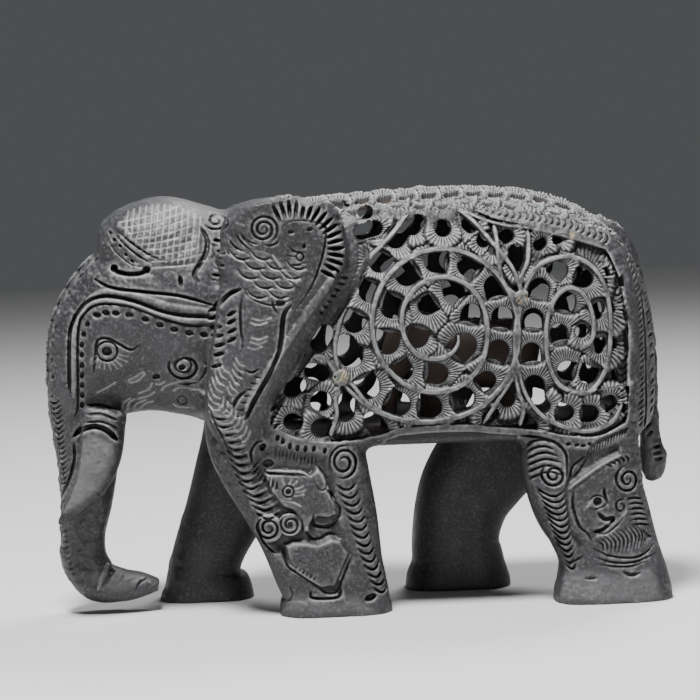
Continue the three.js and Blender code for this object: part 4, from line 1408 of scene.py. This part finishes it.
def carve_brow(pen):
    """The fall of ornament down the forehead and the front of the trunk, mirrored about the middle."""
    for v in np.arange(240, 369, 16.25):
        pen.boss((0, v), 8, 1.5)
        pen.pit((14, v + 7.5), 4.5, 1.5, 0.7)
        pen.pit((27, v + 2.5), 5, 1.7, 0.7, 30)
    pen.stem([(21, 230), (22, 300), (20, 375)], 4, 0.3)
    for v in np.arange(80, 230, 10.5):
        pen.groove([(0, v), (8, v + 5.5), (17, v + 16.25)], 2.8, 1.0, 0.1)
    for v in np.arange(145, 230, 6.5):
        pen.groove([(17, v), (23, v - 6.25), (29, v - 7.5)], 2.2, 0.8, 0.1)
    pen.groove([(18, 75), (19, 150), (18, 230)], 2.4, 0.9, 0.1)


def carve_rump(pen):
    """Upright lines of cups on each side of the tail."""
    pen.nested([(38, 370), (42, 300), (44, 225), (43, 155)], 22, 12, 10, -5, 2.6, 1.0)
    pen.groove([(22, 375), (24, 275), (24, 150)], 2.6, 1.0, 0.1)
    pen.groove([(62, 350), (65, 250), (64, 155)], 2.6, 1.0, 0.1)


def to_frame(points):
    """Grid units to the frame's metres."""
    return (np.asarray(points) + np.array([ORIGIN_X, 0.0, 0.0])) * UNIT


def make_mesh(name, points, triangles):
    """A Blender mesh of triangles."""
    mesh = bpy.data.meshes.new(name)
    mesh.vertices.add(len(points))
    mesh.vertices.foreach_set("co", np.ascontiguousarray(points, np.float32).ravel())
    mesh.loops.add(3 * len(triangles))
    mesh.loops.foreach_set("vertex_index", np.ascontiguousarray(triangles, np.int32).ravel())
    mesh.polygons.add(len(triangles))
    mesh.polygons.foreach_set("loop_start", np.arange(0, 3 * len(triangles), 3, dtype=np.int32))
    mesh.update(calc_edges=True)
    return mesh


def thinned(points, triangles, most):
    """The same surface with fewer triangles where it is plain."""
    if len(triangles) <= most:
        return points, triangles
    rough = bpy.data.objects.new("rough", make_mesh("rough", points, triangles))
    bpy.context.scene.collection.objects.link(rough)
    fewer = rough.modifiers.new("fewer", "DECIMATE")
    fewer.ratio = most / len(triangles)
    view = bpy.context.evaluated_depsgraph_get()
    kept = rough.evaluated_get(view).to_mesh()
    kept.calc_loop_triangles()
    corners = np.empty(3 * len(kept.loop_triangles), np.int32)
    kept.loop_triangles.foreach_get("vertices", corners)
    places = np.empty(3 * len(kept.vertices), np.float32)
    kept.vertices.foreach_get("co", places)
    rough.evaluated_get(view).to_mesh_clear()
    bpy.data.objects.remove(rough)
    return places.reshape(-1, 3).astype(float), corners.reshape(-1, 3)


def vertex_normals(points, triangles):
    """One normal for each vertex, so that pieces meet without a seam."""
    first, second, third = (points[triangles[:, k]] for k in range(3))
    faces = np.cross(second - first, third - first)
    normals = np.zeros_like(points)
    for k in range(3):
        for axis in range(3):
            normals[:, axis] += np.bincount(triangles[:, k], faces[:, axis], len(points))
    return normals / np.maximum(np.linalg.norm(normals, axis=1), 1e-12)[:, None]


def surface_marks(block, points, sheets):
    """The marks that the material reads, for every vertex."""
    outer = sample_block(block, block.outer, points)
    slopes = []
    for axis in range(3):
        shift = np.zeros(3)
        shift[axis] = SLOPE_STEP
        ahead = sample_block(block, block.outer, points + shift)
        slopes.append(ahead - sample_block(block, block.outer, points - shift))
    facing = unit(slopes)
    places = [points[:, k].astype(np.float32) for k in range(3)]
    x, y, z = places
    marks = relief(sheets, ["wear_and_shade", "pale", "phase", "veined", "warm"], places, facing)
    # Paler where the skin faces up
    marks["wear_and_shade"] += UPWARD_PALING * np.clip(facing[2], 0, 1)
    for name in ("wear_and_shade", "pale", "veined", "warm"):
        marks[name] = marks[name] * (1 - smoothstep(-outer, *SKIN_FADE))
    marks["warm"] = marks["warm"] * (y < 0)
    # Painted shade deep inside the hollow, which also bounds where the calf's colour is
    marks["inside"] = smoothstep(-outer, *INSIDE_SHADE_FADE)
    start, end, half, foot = CALF_PLACE
    marks["calf"] = marks["inside"] * (np.abs(y) < half) * (x > start) * (x < end) * (z > foot)
    return marks


def add_pieces(name, block, count, most, sheets, material):
    """The block's surface as pieces of like size along the figure, with shared normals and marks."""
    points, triangles = thinned(*stone_mesh(block), most)
    normals = vertex_normals(points, triangles)
    marks = surface_marks(block, points, sheets)
    places = points[triangles].mean(1)[:, 0]
    stops = np.quantile(places, np.linspace(0, 1, count + 1)[1:-1])
    group = np.searchsorted(stops, places)
    for index in range(count):
        chosen = triangles[group == index]
        used, renumbered = np.unique(chosen, return_inverse=True)
        label = f"{name}_{index + 1}"
        mesh = make_mesh(label, to_frame(points[used]), renumbered.reshape(-1, 3))
        mesh.polygons.foreach_set("use_smooth", np.ones(len(chosen), bool))
        mesh.normals_split_custom_set_from_vertices(normals[used].astype(np.float32))
        for mark, values in marks.items():
            layer = mesh.attributes.new(mark, "FLOAT", "POINT")
            layer.data.foreach_set("value", np.ascontiguousarray(values[used], np.float32))
        mesh.materials.append(material)
        piece = bpy.data.objects.new(label, mesh)
        bpy.context.scene.collection.objects.link(piece)
        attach(piece, "root")
        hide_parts(NODE)


# Colours of the stone, the calf and the scene, in linear light
STONE_DARK = (0.015, 0.0152, 0.0162)
STONE_GREY = (0.036, 0.0365, 0.039)
GRAIN_COLOUR = (0.16, 0.16, 0.165)
RUBBED_COLOUR = (0.2, 0.201, 0.205)
# Painted shade for the cuts and hollows of the relief
CUT_SHADE_COLOUR = (0.007, 0.007, 0.008)
SCORED_COLOUR = (0.27, 0.272, 0.276)
# Painted shade in the grooves of the leaves' veins
VEIN_SHADE_COLOUR = (0.012, 0.012, 0.013)
STAIN_COLOUR = (0.33, 0.27, 0.15)
# Painted shade inside the hollow
INSIDE_SHADE_COLOUR = (0.011, 0.011, 0.012)
CALF_COLOUR = (0.2, 0.145, 0.125)
FLOOR_COLOUR = (0.5, 0.5, 0.5, 1)
ROOM_COLOUR = (0.8, 0.82, 0.85, 1)
ROOM_LIGHT = 0.1

# Lights: name, place and size in metres, and power in watts; all look at the middle of the figure
LIGHTS = (
    ("key", (-0.22, -0.42, 1.3), 0.34, 52),
    ("fill", (0.7, -1.2, 0.4), 0.7, 1.8),
    ("rim", (0.45, 0.7, 1.2), 0.5, 20),
)
LIGHT_AIM = (0.0, 0.0, 0.09)


def stone_material():
    """Dark grey soapstone: pale where it is rubbed or scored, with painted shade in the cuts, in the veins'
    grooves and inside the hollow.
    """
    material = bpy.data.materials.new("soapstone")
    material.use_nodes = True
    nodes = material.node_tree.nodes
    links = material.node_tree.links
    shader = nodes["Principled BSDF"]
    shader.inputs["Specular IOR Level"].default_value = 0.45
    place = nodes.new("ShaderNodeTexCoord")

    def join(socket, value):
        if isinstance(value, (int, float)):
            socket.default_value = value
        elif isinstance(value, tuple):
            socket.default_value = (*value, 1)
        else:
            links.new(value, socket)

    def read(name):
        node = nodes.new("ShaderNodeAttribute")
        node.attribute_name = name
        return node.outputs["Fac"]

    def scaled(value, low, high, to_low=0.0, to_high=1.0):
        node = nodes.new("ShaderNodeMapRange")
        names = ("Value", "From Min", "From Max", "To Min", "To Max")
        for name, number in zip(names, (value, low, high, to_low, to_high)):
            join(node.inputs[name], number)
        return node.outputs["Result"]

    def maths(operation, first, second=0.0):
        node = nodes.new("ShaderNodeMath")
        node.operation = operation
        join(node.inputs[0], first)
        join(node.inputs[1], second)
        return node.outputs["Value"]

    def mixed(amount, first, second):
        node = nodes.new("ShaderNodeMix")
        node.data_type = "RGBA"
        colours = {socket.name: socket for socket in node.inputs if socket.type == "RGBA"}
        join(node.inputs["Factor"], amount)
        join(colours["A"], first)
        join(colours["B"], second)
        return next(socket for socket in node.outputs if socket.type == "RGBA")

    def noise(scale, detail, roughness=0.6):
        node = nodes.new("ShaderNodeTexNoise")
        for name, number in (("Scale", scale), ("Detail", detail), ("Roughness", roughness)):
            join(node.inputs[name], number)
        join(node.inputs["Vector"], place.outputs["Object"])
        return node.outputs["Fac"]

    wear_and_shade = read("wear_and_shade")
    veins = maths("COSINE", maths("MULTIPLY", read("phase"), 2 * math.pi))
    veins = maths("MULTIPLY", veins, read("veined"))
    grains = scaled(noise(900, 3, 0.7), 0.52, 0.72)
    blotches = maths("MULTIPLY", scaled(noise(420, 3), 0.4, 0.62), read("warm"))
    colour = mixed(scaled(noise(28, 4), 0.35, 0.7), STONE_DARK, STONE_GREY)
    for amount, tint in (
        (scaled(grains, 0, 1, 0, 0.45), GRAIN_COLOUR),
        # Pale on worn ridges, and painted shade in the cuts and hollows
        (scaled(wear_and_shade, 0.08, 0.9), RUBBED_COLOUR),
        (scaled(wear_and_shade, -0.04, -0.45), CUT_SHADE_COLOUR),
        # The leaves' veins: paler between the grooves, painted shade in them
        (scaled(veins, -0.1, -1.0, 0, 0.75), SCORED_COLOUR),
        (scaled(veins, 0.1, 1.0, 0, 0.75), VEIN_SHADE_COLOUR),
        (scaled(read("pale"), 0, 1, 0, 0.85), SCORED_COLOUR),
        (scaled(blotches, 0, 1, 0, 0.75), STAIN_COLOUR),
        # Painted shade deep inside the hollow
        (scaled(read("inside"), 0, 1, 0, 0.8), INSIDE_SHADE_COLOUR),
        (scaled(read("calf"), 0, 1, 0, 0.8), CALF_COLOUR),
    ):
        colour = mixed(amount, colour, tint)
    join(shader.inputs["Base Color"], colour)
    join(shader.inputs["Roughness"], scaled(noise(160, 3), 0.3, 0.7, 0.42, 0.62))
    bump = nodes.new("ShaderNodeBump")
    join(bump.inputs["Strength"], 0.35)
    join(bump.inputs["Distance"], 0.0004)
    join(bump.inputs["Height"], noise(1000, 4, 0.75))
    join(shader.inputs["Normal"], bump.outputs["Normal"])
    return material


def add_camera():
    """The photograph's view, with no shift and nothing out of focus."""
    data = bpy.data.cameras.new("camera")
    data.sensor_width = 36.0
    data.lens = data.sensor_width * FOCAL_PIXELS / PICTURE
    data.clip_start = 0.05
    camera = bpy.data.objects.new("camera", data)
    bpy.context.scene.collection.objects.link(camera)
    axes = Matrix((PICTURE_RIGHT, PICTURE_UP, BACKWARD)).transposed().to_4x4()
    axes.translation = Vector(to_frame(CAMERA_AT))
    camera.matrix_world = axes
    bpy.context.scene.camera = camera


def add_light(name, place, size, power):
    """A soft round lamp."""
    data = bpy.data.lights.new(name, "AREA")
    data.shape = "DISK"
    data.size = size
    data.energy = power
    light = bpy.data.objects.new(name, data)
    bpy.context.scene.collection.objects.link(light)
    light.location = place
    light.rotation_euler = (Vector(LIGHT_AIM) - Vector(place)).to_track_quat("-Z", "Y").to_euler()


def add_stage():
    """The plain pale floor and the room's even light."""
    bpy.ops.mesh.primitive_plane_add(size=6.0)
    floor = bpy.context.object
    floor.name = "floor"
    material = bpy.data.materials.new("floor")
    material.use_nodes = True
    shader = material.node_tree.nodes["Principled BSDF"]
    shader.inputs["Base Color"].default_value = FLOOR_COLOUR
    shader.inputs["Roughness"].default_value = 0.8
    floor.data.materials.append(material)
    world = bpy.data.worlds.new("studio")
    bpy.context.scene.world = world
    world.use_nodes = True
    sky = world.node_tree.nodes["Background"]
    sky.inputs["Color"].default_value = ROOM_COLOUR
    sky.inputs["Strength"].default_value = ROOM_LIGHT


add_camera()
add_stage()
for light in LIGHTS:
    add_light(*light)

start, _, foot = BLOCK_LOW
end, half, top = BLOCK_HIGH
sheets = {
    "side": Sheet((start, 0), (end, 169)),
    "top": Sheet((start, 0), (end, half)),
    "front": Sheet((0, 0), (half, 169)),
    "back": Sheet((0, 0), (half, 169)),
}
for region, depth in (
    (carve_cloth, BODY_DEPTH),
    (carve_head, HEAD_DEPTH),
    (carve_ear, EAR_DEPTH),
    (carve_front_leg, BODY_DEPTH),
    (carve_hind_leg, BODY_DEPTH),
    (carve_tail, TAIL_DEPTH),
):
    region(Pen(sheets["side"], depth))
carve_roof(FlatPen(sheets["top"]))
carve_brow(FlatPen(sheets["front"]))
carve_rump(FlatPen(sheets["back"]))
for sheet in sheets.values():
    sheet.finish()

stone = stone_material()
near_half = carve(BLOCK_LOW, (end, MIDDLE_REACH, top), CELL, sheets)
add_pieces("elephant_near", near_half, 4, NEAR_FACES, sheets, stone)
far_half = carve((start, -MIDDLE_REACH, foot), BLOCK_HIGH, 2 * CELL, sheets)
add_pieces("elephant_far", far_half, 1, FAR_FACES, sheets, stone)
